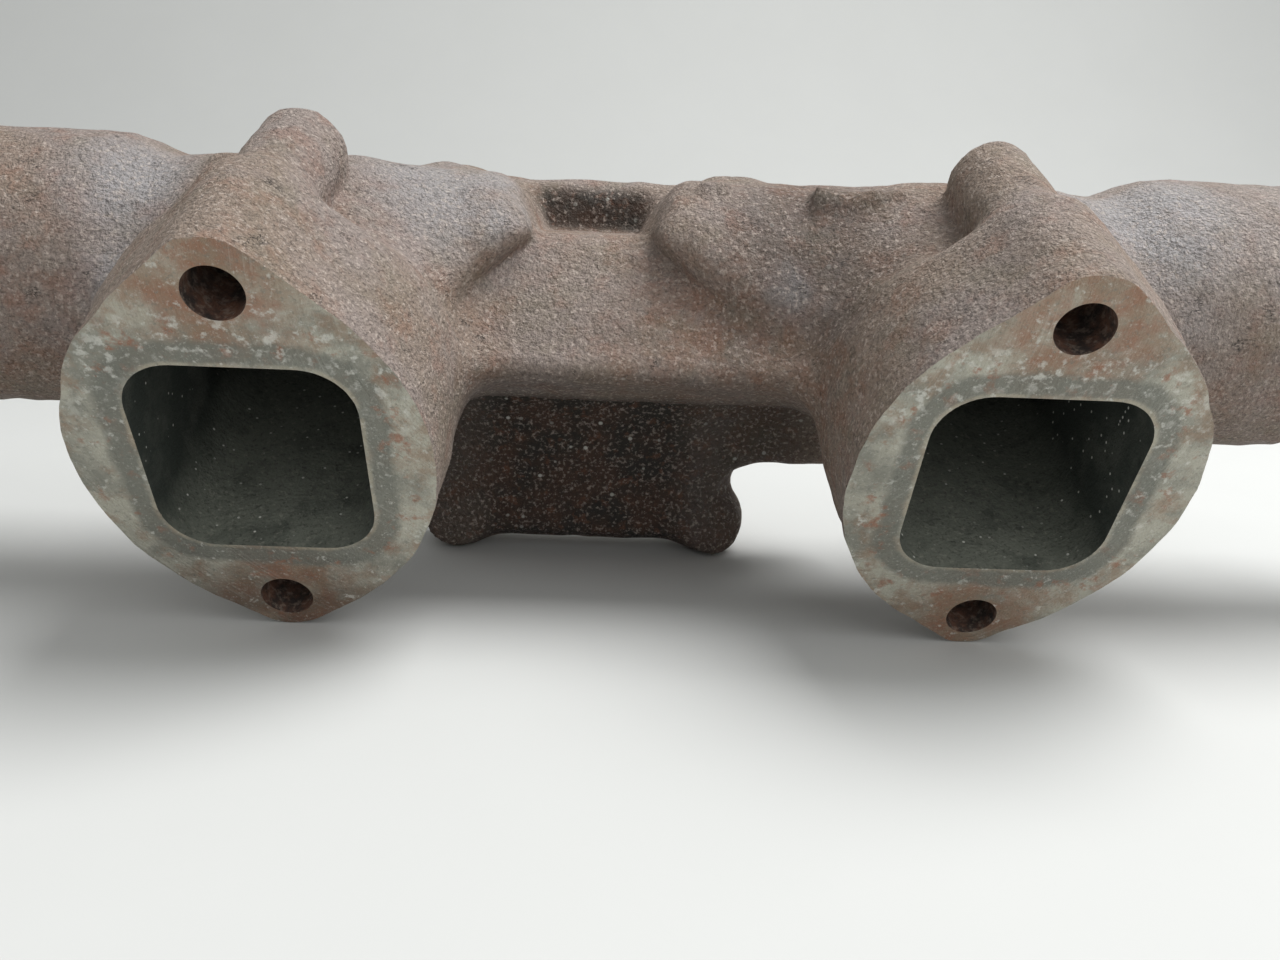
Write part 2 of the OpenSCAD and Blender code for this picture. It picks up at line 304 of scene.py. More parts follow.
def trough_body(x, y, z):
    """The dip over the middle of the log, from the front back to the turbo flange."""
    flank = (np.abs(x - TURBO_X) - TROUGH_HALF - TROUGH_FLARE * (z - TROUGH_FLOOR)) / 1.08
    trough = np.maximum(flank, TROUGH_FLOOR - z)
    return np.maximum(trough, np.maximum(y - TURBO_FRONT - 1, -6 - y))


def with_turbo_flange(whole, x, y, z):
    """Adds the turbo flange with its four lobes, and the bosses that carry the lobes' bolts forwards."""
    half_w, half_h = STUD_DX / 2, STUD_DZ / 2
    middle = plate(x - TURBO_X, z - TURBO_Z, half_w + LOBE_R - EDGE_INSET, half_h + LOBE_R - EDGE_INSET, 4)
    lobes = np.hypot(np.abs(x - TURBO_X) - half_w, np.abs(z - TURBO_Z) - half_h) - LOBE_R
    flange = slab(melt(middle, lobes, 5), y, TURBO_FRONT, TURBO_FACE + FLANGE_STOCK, 2.5)
    whole = melt(whole, flange, 6)
    upper = TURBO_Z + half_h
    for s in (-1, 1):
        px = TURBO_X + s * half_w
        whole = melt(whole, rod(x, y, z, (px, 59, LOBE_R), (px, 70, LOBE_R), LOBE_R - 0.7, 3), 4)
        whole = melt(whole, rod(x, y, z, (px, 34, upper - 1), (px, 70, upper), LOBE_R - 0.3, 5), 7)
    return whole


def with_foundry_marks(whole, x, y, z):
    """Adds a bar for foundry marks, with no marks but a knobbly top, and the stubs of two risers."""
    knobs = 0.8 * lumps(x, y, z, 2.6, SEED + 2) * ramp(z, 95.5, 97.5)
    bar = slab(plate(x - 49.5, y - 17, 13.5, 5, 1), z, 88, 98.6, 0.7) + knobs
    whole = melt(whole, bar, 1.0)
    for px, py, pz in ((15, 20, 96.9), (-90, 14, 97.6)):
        whole = melt(whole, rod(x, y, z, (px - 4, py, pz), (px + 4, py, pz), 2.7, 2), 1.5)
    return whole


def body(x, y, z, fillet):
    """The outside of the casting, before machining: each face to be milled still stands proud."""
    ye, ze = engine_axes(y, z)
    u = np.abs(x) - PORT_X
    whole = melt(log_body(x, y, z), duct_body(x, y, z), 7)
    whole = carve(whole, trough_body(x, y, z), 5)
    whole = with_turbo_flange(whole, x, y, z)
    whole = melt(whole, ports_body(u, ye, ze, fillet), fillet)
    whole = melt(whole, rod(u, ye, ze, TUBE_FOOT, TUBE_END, TUBE_R, 3), 3.5)
    return with_foundry_marks(whole, x, y, z)


# --------------------------------------------------------------------------------------------------
# Meshes

def skin(field, low, cell):
    """The surface where a field on a grid changes sign, as points and four-sided faces that look outwards."""
    n = np.array(field.shape) - 1
    corner = {}
    for o in itertools.product((0, 1), repeat=3):
        corner[o] = field[o[0]:o[0] + n[0], o[1]:o[1] + n[1], o[2]:o[2] + n[2]]
    filled = sum((c < 0).astype(np.int8) for c in corner.values())
    active = (filled > 0) & (filled < 8)
    number = np.full(active.shape, -1)
    number[active] = np.arange(active.sum())
    place = np.stack(np.nonzero(active), 1).astype(float)
    total = np.zeros_like(place)
    count = np.zeros(len(place))
    for axis in range(3):
        for o in itertools.product((0, 1), repeat=2):
            start = list(o)
            start.insert(axis, 0)
            end = list(start)
            end[axis] = 1
            a, b = corner[tuple(start)][active], corner[tuple(end)][active]
            cross = (a < 0) != (b < 0)
            t = np.where(cross, a / np.where(cross, a - b, 1), 0)
            at = np.array(start, float) + t[:, None] * (np.array(end) - np.array(start))
            total += at * cross[:, None]
            count += cross
    points = (place + total / count[:, None]) * cell + low
    faces = []
    for axis in range(3):
        b, c = (axis + 1) % 3, (axis + 2) % 3
        pick = [slice(1, -1)] * 3
        pick[axis] = slice(0, -1)
        here = field[tuple(pick)]
        pick[axis] = slice(1, None)
        there = field[tuple(pick)]
        change = (here < 0) != (there < 0)
        at = np.stack(np.nonzero(change), 1)
        at[:, b] += 1
        at[:, c] += 1
        ring = []
        for db, dc in ((-1, -1), (0, -1), (0, 0), (-1, 0)):
            q = at.copy()
            q[:, b] += db
            q[:, c] += dc
            ring.append(number[q[:, 0], q[:, 1], q[:, 2]])
        quad = np.stack(ring, 1)
        back = here[change] >= 0
        quad[back] = quad[back][:, ::-1]
        faces.append(quad)
    return points, np.concatenate(faces)


def new_object(name, mesh):
    obj = bpy.data.objects.new(name, mesh)
    bpy.context.scene.collection.objects.link(obj)
    return obj


def mesh_from(name, points, faces):
    """A mesh of four-sided faces from arrays, in metres."""
    mesh = bpy.data.meshes.new(name)
    mesh.vertices.add(len(points))
    mesh.vertices.foreach_set("co", np.asarray(points, np.float32).ravel())
    mesh.loops.add(len(faces) * 4)
    mesh.loops.foreach_set("vertex_index", np.asarray(faces, np.int32).ravel())
    mesh.polygons.add(len(faces))
    mesh.polygons.foreach_set("loop_start", np.arange(0, len(faces) * 4, 4, dtype=np.int32))
    mesh.update(calc_edges=True)
    mesh.validate()
    return mesh


def round_cutter(name, start, end, radius, sides=72):
    """A closed round bar between two points in metres, to bore with."""
    start, end = Vector(start), Vector(end)
    turn = (end - start).to_track_quat("Z", "Y").to_matrix()
    ring = [turn @ Vector((math.cos(2 * math.pi * i / sides), math.sin(2 * math.pi * i / sides), 0)) * radius
            for i in range(sides)]
    points = [start + p for p in ring] + [end + p for p in ring]
    faces = [(i, (i + 1) % sides, (i + 1) % sides + sides, i + sides) for i in range(sides)]
    faces += [tuple(range(sides - 1, -1, -1)), tuple(range(sides, 2 * sides))]
    mesh = bpy.data.meshes.new(name)
    mesh.from_pydata(points, [], faces)
    return mesh


def block_cutter(name, centre, turn, size):
    """A closed box of that size in metres, turned by a matrix, to mill with."""
    points = [centre + turn @ Vector((a * size[0] / 2, b * size[1] / 2, c * size[2] / 2))
              for a, b, c in itertools.product((-1, 1), repeat=3)]
    faces = [(0, 1, 3, 2), (4, 6, 7, 5), (0, 4, 5, 1), (2, 3, 7, 6), (0, 2, 6, 4), (1, 5, 7, 3)]
    mesh = bpy.data.meshes.new(name)
    mesh.from_pydata(points, [], faces)
    return mesh


def cut(obj, cutters):
    """Takes each cutter out of the object in turn."""
    for mesh in cutters:
        tool = new_object("cutter", mesh)
        change = obj.modifiers.new("cut", "BOOLEAN")
        change.operation = "DIFFERENCE"
        change.solver = "MANIFOLD"
        change.object = tool
        before = len(obj.data.polygons)
        done = bpy.data.meshes.new_from_object(obj.evaluated_get(bpy.context.evaluated_depsgraph_get()))
        if len(done.polygons) < before // 2 or len(done.polygons) == before:
            raise RuntimeError(f"a cut failed: {mesh.name} left {len(done.polygons)} of {before} faces")
        obj.modifiers.clear()
        old = obj.data
        obj.data = done
        bpy.data.meshes.remove(old)
        bpy.data.objects.remove(tool)
        bpy.data.meshes.remove(mesh)


# --------------------------------------------------------------------------------------------------
# Materials

def linear(hex_colour):
    """An sRGB hex colour such as "8c6a5c" as linear red, green, blue and alpha."""
    out = []
    for i in (0, 2, 4):
        v = int(hex_colour[i:i + 2], 16) / 255
        out.append(v / 12.92 if v <= 0.04045 else ((v + 0.055) / 1.055) ** 2.4)
    return (*out, 1.0)


def add(tree, kind, settings=None, **links):
    """Adds a node. Settings are its properties; links are its inputs, each a value or another node's
    output."""
    node = tree.nodes.new(kind)
    for key, value in (settings or {}).items():
        setattr(node, key, value)
    for key, value in links.items():
        numbered = key[0] == "i" and key[1:].isdigit()
        socket = node.inputs[int(key[1:]) if numbered else key.replace("_", " ")]
        if isinstance(value, bpy.types.NodeSocket):
            tree.links.new(value, socket)
        else:
            socket.default_value = value
    return node


def start_material(name, roughness, metallic=0.0):
    """A new material: itself, its tree, its shader, and the piece's own coordinates in millimetres."""
    mat = bpy.data.materials.new(name)
    mat.use_nodes = True
    tree = mat.node_tree
    tree.nodes.clear()
    shader = add(tree, "ShaderNodeBsdfPrincipled", Roughness=roughness, Metallic=metallic)
    add(tree, "ShaderNodeOutputMaterial", Surface=shader.outputs[0])
    metres = add(tree, "ShaderNodeTexCoord").outputs["Object"]
    where = add(tree, "ShaderNodeVectorMath", {"operation": "SCALE"}, Vector=metres, Scale=1 / MM).outputs[0]
    return mat, tree, shader, where


def patches(tree, where, colour, layers):
    """Lays patches of more colours over a colour, one layer over the other.

    A layer is the patches' size in millimetres, the two levels of noise between which they fade in, their
    colour, their strength, and where they are held to: a mask, or None for everywhere.
    """
    for number, (size, low, high, over, strength, held) in enumerate(layers):
        place = add(tree, "ShaderNodeVectorMath", {"operation": "ADD"}, i0=where,
                    i1=(37.0 * number, 11.0, 5.0 * number))
        noise = add(tree, "ShaderNodeTexNoise", Vector=place.outputs[0], Scale=1 / size, Detail=5.0,
                    Roughness=0.62)
        much = add(tree, "ShaderNodeMapRange", Value=noise.outputs[0], From_Min=low, From_Max=high,
                   To_Max=strength)
        if held is not None:
            much = add(tree, "ShaderNodeMath", {"operation": "MULTIPLY"}, i0=much.outputs[0], i1=held)
        colour = add(tree, "ShaderNodeMix", {"data_type": "RGBA"}, i0=much.outputs[0], i6=colour,
                     i7=over).outputs[2]
    return colour


def grain(tree, where, layers):
    """The height of a rough surface, as noises of several sizes added up. A layer is a size in millimetres
    and a share."""
    height = 0.0
    for size, share in layers:
        noise = add(tree, "ShaderNodeTexNoise", Vector=where, Scale=1 / size, Detail=3.0, Roughness=0.6)
        height = add(tree, "ShaderNodeMath", {"operation": "MULTIPLY_ADD"},
                     i0=noise.outputs[0], i1=share, i2=height).outputs[0]
    return height


def cracks(tree, where, size, squeeze, width, cover):
    """Short thin cracks, 1 inside one and 0 beside it.

    They run along the lines where a noise passes its middle level. Size is the noise's in millimetres,
    squeeze shortens it along each axis, width is in noise levels, and cover is the level above which the
    crust has cracked.
    """
    flat = add(tree, "ShaderNodeVectorMath", {"operation": "MULTIPLY"}, i0=where, i1=squeeze).outputs[0]
    noise = add(tree, "ShaderNodeTexNoise", Vector=flat, Scale=1 / size, Detail=4.0, Roughness=0.7)
    off = add(tree, "ShaderNodeMath", {"operation": "SUBTRACT"}, i0=noise.outputs[0], i1=0.5)
    far = add(tree, "ShaderNodeMath", {"operation": "ABSOLUTE"}, i0=off.outputs[0])
    line = add(tree, "ShaderNodeMapRange", Value=far.outputs[0], From_Max=width, To_Min=1.0, To_Max=0.0)
    patch = add(tree, "ShaderNodeTexNoise", Vector=where, Scale=1 / (1.3 * size), Detail=1.0)
    here = add(tree, "ShaderNodeMapRange", Value=patch.outputs[0], From_Min=cover, From_Max=cover + 0.06)
    return add(tree, "ShaderNodeMath", {"operation": "MULTIPLY"}, i0=line.outputs[0],
               i1=here.outputs[0]).outputs[0]


def ash(tree, where, spacing, some):
    """Pale specks of ash, 1 on one: each about a sixth of their spacing, which is in millimetres. Some is
    the draw from 0 to 1 above which a place has its speck."""
    cell = add(tree, "ShaderNodeTexVoronoi", Vector=where, Scale=1 / spacing)
    near = add(tree, "ShaderNodeMapRange", Value=cell.outputs["Distance"], From_Min=0.10, From_Max=0.17,
               To_Min=1, To_Max=0).outputs[0]
    lot = add(tree, "ShaderNodeSeparateColor", Color=cell.outputs["Color"]).outputs[0]
    few = add(tree, "ShaderNodeMapRange", Value=lot, From_Min=some, From_Max=some + 0.3).outputs[0]
    return add(tree, "ShaderNodeMath", {"operation": "MULTIPLY"}, i0=near, i1=few).outputs[0]


def emboss(tree, shader, height, depth):
    """Tilts the shading by a height between 0 and 1 that stands for a depth in millimetres."""
    bump = add(tree, "ShaderNodeBump", Height=height, Distance=depth * MM)
    tree.links.new(bump.outputs[0], shader.inputs["Normal"])


def rusted_grey_iron(look):
    """Grey iron as it left the sand, burnt and rusted for years: a sandy matt crust with short dark cracks,
    and a bluish scale with a faint shine on the humps that ran hottest, its pale colour partly a painted
    highlight on the humps' upward faces. Painted shade darkens the crust under the web's lip and in the dip."""
    mat, tree, shader, where = start_material("rusted_grey_iron", 0.86)
    crease = add(tree, "ShaderNodeAttribute", {"attribute_name": "crease"}).outputs["Fac"]
    scale = add(tree, "ShaderNodeAttribute", {"attribute_name": "scale"}).outputs["Fac"]
    soot_and_shade = add(tree, "ShaderNodeAttribute", {"attribute_name": "soot_and_shade"}).outputs["Fac"]
    red = add(tree, "ShaderNodeAttribute", {"attribute_name": "red"}).outputs["Fac"]
    # Grains of the moulding sand are about 0.5 mm, and the crust over them flakes at 1 to 3 mm
    colour = patches(tree, where, tuple(look.crust), [
        (34, 0.42, 0.60, tuple(look.mauve), 0.75, None),
        (13, 0.50, 0.66, tuple(look.olive), 0.50, None),
        (8, 0.52, 0.66, tuple(look.rust), 0.30, None),
        (5, 0.44, 0.64, tuple(look.rust), 0.50, red),
        (6, 0.42, 0.60, tuple(look.rust), 0.30, crease),
        # Pale bluish scale on the humps, partly a painted highlight
        (14, 0.26, 0.50, tuple(look.scale), 0.75, scale),
        # Painted shade: near black under the web's lip and in the dip, with darker rust and specks of rust
        # there
        (14, 0.10, 0.34, tuple(look.soot_and_shade), 0.93, soot_and_shade),
        (11, 0.46, 0.62, tuple(look.rust_in_shade), 0.55, soot_and_shade),
        (3, 0.56, 0.66, tuple(look.rust), 0.35, soot_and_shade),
        (2.2, 0.54, 0.68, tuple(look.pit), 0.22, None),
        (1.0, 0.53, 0.64, tuple(look.pale), 0.50, None),
        (0.9, 0.53, 0.64, tuple(look.pit), 0.42, None),
        (0.5, 0.54, 0.66, tuple(look.pit), 0.40, None),
    ])
    crack = cracks(tree, where, 4.2, (0.6, 1.0, 1.5), 0.013, 0.66)
    colour = add(tree, "ShaderNodeMix", {"data_type": "RGBA"}, i0=crack, i6=colour,
                 i7=tuple(look.pit)).outputs[2]
    speck = add(tree, "ShaderNodeMath", {"operation": "MULTIPLY"}, i0=ash(tree, where, 4.0, 0.62),
                i1=soot_and_shade).outputs[0]
    colour = add(tree, "ShaderNodeMix", {"data_type": "RGBA"}, i0=speck, i6=colour,
                 i7=tuple(look.chalk)).outputs[2]
    tree.links.new(colour, shader.inputs["Base Color"])
    shine = add(tree, "ShaderNodeMapRange", Value=scale, From_Max=1.0, To_Min=0.86, To_Max=0.60)
    tree.links.new(shine.outputs[0], shader.inputs["Roughness"])
    height = grain(tree, where, ((3.0, 0.28), (1.3, 0.42), (0.6, 0.30)))
    height = add(tree, "ShaderNodeMath", {"operation": "MULTIPLY_ADD"}, i0=crack, i1=-0.6,
                 i2=height).outputs[0]
    emboss(tree, shader, height, 3.2)
    return mat


def port_face_coordinates(tree, where):
    """Places on a port face, in millimetres: across and up from the port's centre, beyond the opening's
    edge, and beyond the edge of the nearer bolt hole."""
    parts = add(tree, "ShaderNodeSeparateXYZ", Vector=where)
    side = add(tree, "ShaderNodeMath", {"operation": "ABSOLUTE"}, i0=parts.outputs[0])
    across = add(tree, "ShaderNodeMath", {"operation": "SUBTRACT"}, i0=side.outputs[0], i1=PORT_X).outputs[0]
    dot = add(tree, "ShaderNodeVectorMath", {"operation": "DOT_PRODUCT"}, i0=where,
              i1=(0.0, -math.sin(LEAN), math.cos(LEAN)))
    up = add(tree, "ShaderNodeMath", {"operation": "SUBTRACT"}, i0=dot.outputs["Value"],
             i1=TIP_DROP + CENTRE_Y * math.sin(LEAN)).outputs[0]
    flat = add(tree, "ShaderNodeCombineXYZ", X=across, Y=up).outputs[0]
    fold = add(tree, "ShaderNodeVectorMath", {"operation": "ABSOLUTE"}, i0=flat).outputs[0]
    off = add(tree, "ShaderNodeVectorMath", {"operation": "SUBTRACT"}, i0=fold,
              i1=(PORT_W / 2 - PORT_CORNER, PORT_H / 2 - PORT_CORNER, 0)).outputs[0]
    out = add(tree, "ShaderNodeVectorMath", {"operation": "MAXIMUM"}, i0=off, i1=(0, 0, 0)).outputs[0]
    far = add(tree, "ShaderNodeVectorMath", {"operation": "LENGTH"}, i0=out).outputs["Value"]
    port = add(tree, "ShaderNodeMath", {"operation": "SUBTRACT"}, i0=far, i1=PORT_CORNER).outputs[0]
    to_bolt = add(tree, "ShaderNodeVectorMath", {"operation": "SUBTRACT"}, i0=fold,
                  i1=(0, BOLT_Z, 0)).outputs[0]
    reach = add(tree, "ShaderNodeVectorMath", {"operation": "LENGTH"}, i0=to_bolt).outputs["Value"]
    bolt = add(tree, "ShaderNodeMath", {"operation": "SUBTRACT"}, i0=reach, i1=BOLT_R).outputs[0]
    return flat, up, port, bolt


def milled_port_iron(look):
    """Grey iron milled flat and then clamped under a gasket for years: dull grey-green, browned round the
    bolts, with the gasket's dark print and crumbs of white scale round the opening."""
    mat, tree, shader, where = start_material("milled_port_iron", 0.62)
    flat, up, port, bolt = port_face_coordinates(tree, where)
    # A noise bends the edges of the print by about 1 mm, and those of the browned rounds by about 3 mm
    wander = add(tree, "ShaderNodeTexNoise", Vector=where, Scale=1 / 7, Detail=4.0, Roughness=0.6).outputs[0]
    bent_port = add(tree, "ShaderNodeMath", {"operation": "MULTIPLY_ADD"}, i0=wander, i1=4.0,
                    i2=port).outputs[0]
    bent_bolt = add(tree, "ShaderNodeMath", {"operation": "MULTIPLY_ADD"}, i0=wander, i1=14.0,
                    i2=bolt).outputs[0]
    from_print = add(tree, "ShaderNodeMath", {"operation": "SUBTRACT"}, i0=bent_port, i1=4.8).outputs[0]
    from_print = add(tree, "ShaderNodeMath", {"operation": "ABSOLUTE"}, i0=from_print).outputs[0]
    gasket = add(tree, "ShaderNodeMapRange", Value=from_print, From_Min=1.6, From_Max=3.2, To_Min=1,
                 To_Max=0).outputs[0]
    lip = add(tree, "ShaderNodeMapRange", Value=port, From_Min=0.4, From_Max=1.0, To_Min=1,
              To_Max=0).outputs[0]
    browned = add(tree, "ShaderNodeMapRange", Value=bent_bolt, From_Min=10, From_Max=20, To_Min=1,
                  To_Max=0).outputs[0]
    crown = add(tree, "ShaderNodeMapRange", Value=up, From_Min=4, From_Max=22).outputs[0]
    from_band = add(tree, "ShaderNodeMath", {"operation": "SUBTRACT"}, i0=port, i1=6.5).outputs[0]
    from_band = add(tree, "ShaderNodeMath", {"operation": "ABSOLUTE"}, i0=from_band).outputs[0]
    band = add(tree, "ShaderNodeMapRange", Value=from_band, From_Min=1.5, From_Max=7.0, To_Min=1,
               To_Max=0).outputs[0]
    chalky = add(tree, "ShaderNodeMath", {"operation": "MULTIPLY"}, i0=band, i1=crown).outputs[0]
    sole = add(tree, "ShaderNodeMapRange", Value=up, From_Min=-18, From_Max=-40).outputs[0]
    # Darker towards the bottom of each face, and more so on the left: painted shade there, as the right face
    # takes more of the light
    parts = add(tree, "ShaderNodeSeparateXYZ", Vector=where)
    left = add(tree, "ShaderNodeMapRange", Value=parts.outputs[0], From_Min=40, From_Max=-40,
               To_Min=0.15).outputs[0]
    sole = add(tree, "ShaderNodeMath", {"operation": "MULTIPLY"}, i0=sole, i1=left).outputs[0]
    rim = add(tree, "ShaderNodeMapRange", Value=port, From_Min=14, From_Max=24).outputs[0]
    colour = patches(tree, where, tuple(look.milled), [
        (12, 0.45, 0.62, tuple(look.milled_dark), 0.7, None),
        (7, 0.48, 0.62, tuple(look.browned), 0.62, None),
        (9, 0.30, 0.55, tuple(look.browned), 0.85, browned),
        (5, 0.44, 0.62, tuple(look.rust), 0.6, browned),
        (4, 0.52, 0.64, tuple(look.rust), 0.5, rim),
        (9, 0.15, 0.36, tuple(look.milled_dark), 0.85, gasket),
        (2.4, 0.54, 0.64, tuple(look.chalk), 0.65, chalky),
        (5, 0.42, 0.60, tuple(look.lip), 0.7, lip),
        (11, 0.25, 0.50, tuple(look.pit), 0.48, sole),
        (4, 0.57, 0.66, tuple(look.rust), 0.75, band),
        (2.2, 0.60, 0.68, tuple(look.chalk), 0.55, None),
        (1.0, 0.56, 0.68, tuple(look.milled_dark), 0.55, None),
        (0.6, 0.57, 0.68, tuple(look.chalk), 0.28, None),
    ])
    # The cutter's arcs, about 0.7 mm apart, from a centre well outside the face
    swing = add(tree, "ShaderNodeVectorMath", {"operation": "SUBTRACT"}, i0=flat, i1=(-70, 40, 0)).outputs[0]
    radius = add(tree, "ShaderNodeVectorMath", {"operation": "LENGTH"}, i0=swing).outputs["Value"]
    arcs = add(tree, "ShaderNodeTexNoise", {"noise_dimensions": "1D"}, W=radius, Scale=1 / 0.7,
               Detail=2.0).outputs[0]
    mark = add(tree, "ShaderNodeMapRange", Value=arcs, From_Min=0.60, From_Max=0.72, To_Max=0.12).outputs[0]
    worn = add(tree, "ShaderNodeTexNoise", Vector=where, Scale=1 / 11).outputs[0]
    clean = add(tree, "ShaderNodeMapRange", Value=worn, From_Min=0.52, From_Max=0.62).outputs[0]
    mark = add(tree, "ShaderNodeMath", {"operation": "MULTIPLY"}, i0=mark, i1=clean).outputs[0]
    colour = add(tree, "ShaderNodeMix", {"data_type": "RGBA"}, i0=mark, i6=colour,
                 i7=tuple(look.chalk)).outputs[2]
    tree.links.new(colour, shader.inputs["Base Color"])
    height = grain(tree, where, ((2.6, 0.35), (0.9, 0.35), (0.45, 0.2)))
    height = add(tree, "ShaderNodeMath", {"operation": "MULTIPLY_ADD"}, i0=gasket, i1=-0.25,
                 i2=height).outputs[0]
    height = add(tree, "ShaderNodeMath", {"operation": "MULTIPLY_ADD"}, i0=arcs, i1=0.2, i2=height).outputs[0]
    emboss(tree, shader, height, 0.9)
    return mat


def faced_iron(look):
    """Grey iron faced on a milling machine and lightly rusted since: flat and grey, with brown bloom and a
    fine grain."""
    mat, tree, shader, where = start_material("faced_iron", 0.6)
    colour = patches(tree, where, tuple(look.milled), [
        (18, 0.42, 0.62, tuple(look.crust), 0.8, None),
        (7, 0.48, 0.64, tuple(look.rust), 0.5, None),
        (4, 0.55, 0.66, tuple(look.milled_dark), 0.6, None),
        (1.0, 0.55, 0.66, tuple(look.pit), 0.5, None),
    ])
    tree.links.new(colour, shader.inputs["Base Color"])
    emboss(tree, shader, grain(tree, where, ((2.2, 0.4), (0.7, 0.4))), 0.45)
    return mat


def sooted_iron(look):
    """The cast walls of a gas passage: black soot over a fine sand-cast grain, with pale ash specks and a
    little dust settled on the floor."""
    mat, tree, shader, where = start_material("sooted_iron", 0.9)
    facing = add(tree, "ShaderNodeNewGeometry").outputs["Normal"]
    upwards = add(tree, "ShaderNodeSeparateXYZ", Vector=facing).outputs[2]
    floor = add(tree, "ShaderNodeMapRange", Value=upwards, From_Min=0.1, From_Max=0.9).outputs[0]
    speck = ash(tree, where, 2.1, 0.6)
    colour = patches(tree, where, tuple(look.black), [
        (10, 0.45, 0.65, tuple(look.milled_dark), 0.30, None),
        (8, 0.20, 0.50, tuple(look.dust), 0.75, floor),
        (1.2, 0.56, 0.68, tuple(look.milled), 0.30, floor),
        (0.9, 0.54, 0.66, tuple(look.soot_and_shade), 0.5, None),
    ])
    colour = add(tree, "ShaderNodeMix", {"data_type": "RGBA"}, i0=speck, i6=colour,
                 i7=tuple(look.chalk)).outputs[2]
    tree.links.new(colour, shader.inputs["Base Color"])
    emboss(tree, shader, grain(tree, where, ((2.0, 0.35), (0.8, 0.45))), 0.7)
    return mat


def drilled_iron(look):
    """The wall of a drilled hole, brown with rust and dark inside: rough, with fine rings from the drill."""
    mat, tree, shader, where = start_material("drilled_iron", 0.8)
    colour = patches(tree, where, tuple(look.pit), [
        (5, 0.42, 0.62, tuple(look.rust), 0.45, None),
        (1.4, 0.50, 0.64, tuple(look.crust), 0.5, None),
        (0.7, 0.55, 0.66, tuple(look.soot_and_shade), 0.6, None),
    ])
    tree.links.new(colour, shader.inputs["Base Color"])
    emboss(tree, shader, grain(tree, where, ((1.6, 0.5), (0.6, 0.4))), 0.6)
    return mat


def turned_along_x(tree, where, spacing):
    """The height of the fine rings that a lathe tool leaves round a piece that lies along X."""
    along = add(tree, "ShaderNodeSeparateXYZ", Vector=where).outputs[0]
    return add(tree, "ShaderNodeTexNoise", {"noise_dimensions": "1D"}, W=along, Scale=1 / spacing,
               Detail=2.0).outputs[0]


def bored_iron(look):
    """A seat bored in cast iron: a dull grey sheen with fine tool rings, browned by gas that crept past the
    rings."""
    mat, tree, shader, where = start_material("bored_iron", 0.45, 0.6)
    colour = patches(tree, where, tuple(look.milled), [
        (14, 0.42, 0.60, tuple(look.crust), 0.7, None),
        (5, 0.50, 0.64, tuple(look.soot_and_shade), 0.6, None),
        (1.2, 0.56, 0.68, tuple(look.pit), 0.5, None),
    ])
    tree.links.new(colour, shader.inputs["Base Color"])
    # The feed was about 0.25 mm a turn; it is drawn at 0.6 mm so that it shows
    emboss(tree, shader, turned_along_x(tree, where, 0.6), 0.08)
    return mat


def turned_steel(look):
    """Heat-resisting steel turned on a lathe and then run hot: bands of straw, brown and blue under a grey
    haze."""
    mat, tree, shader, where = start_material("turned_steel", 0.42, 0.85)
    colour = patches(tree, where, tuple(look.steel), [
        (26, 0.42, 0.60, tuple(look.straw), 0.75, None),
        (17, 0.46, 0.62, tuple(look.blued), 0.70, None),
        (5, 0.52, 0.66, tuple(look.haze), 0.6, None),
        (1.2, 0.58, 0.68, tuple(look.haze), 0.5, None),
    ])
    tree.links.new(colour, shader.inputs["Base Color"])
    matt = grain(tree, where, ((6.0, 0.35), (1.0, 0.25)))
    tree.links.new(matt, shader.inputs["Roughness"])
    # The feed was about 0.2 mm a turn; it is drawn at 0.6 mm so that it shows
    emboss(tree, shader, turned_along_x(tree, where, 0.6), 0.06)
    return mat


def ground_iron(look):
    """Piston-ring iron, ground on its sides and rim: bright and even, with a thin brown film."""
    mat, tree, shader, where = start_material("ground_iron", 0.34, 0.9)
    colour = patches(tree, where, tuple(look.ring), [
        (8, 0.45, 0.62, tuple(look.film), 0.6, None),
        (1.5, 0.56, 0.68, tuple(look.film), 0.5, None),
    ])
    tree.links.new(colour, shader.inputs["Base Color"])
    # Grinding lines of about 0.05 mm, drawn at 0.4 mm so that they show
    emboss(tree, shader, turned_along_x(tree, where, 0.4), 0.03)
    return mat


def rolled_steel(look):
    """A stud of alloy steel with rolled threads, darkened by heat: smooth brown-grey flanks, with rust in
    the roots."""
    mat, tree, shader, where = start_material("rolled_steel", 0.5, 0.75)
    colour = patches(tree, where, tuple(look.stud), [
        (7, 0.45, 0.62, tuple(look.rust), 0.65, None),
        (1.1, 0.54, 0.66, tuple(look.rust), 0.5, None),
        (0.6, 0.56, 0.68, tuple(look.stud_dark), 0.6, None),
    ])
    tree.links.new(colour, shader.inputs["Base Color"])
    emboss(tree, shader, grain(tree, where, ((1.2, 0.4), (0.5, 0.4))), 0.15)
    return mat


def matt_paper(look):
    """Matt white background paper: no shine, with a very faint unevenness of tone."""
    mat, tree, shader, where = start_material("matt_paper", 0.9)
    colour = patches(tree, where, tuple(look.paper), [(90, 0.35, 0.75, tuple(look.paper_shade), 0.6, None)])
    tree.links.new(colour, shader.inputs["Base Color"])
    return mat


# --------------------------------------------------------------------------------------------------
# Sizes and colours that a user would change

def colour_property(name, description, hex_colour):
    return bpy.props.FloatVectorProperty(name=name, description=description, default=linear(hex_colour),
                                         size=4,
                                         subtype="COLOR", min=0, max=1)


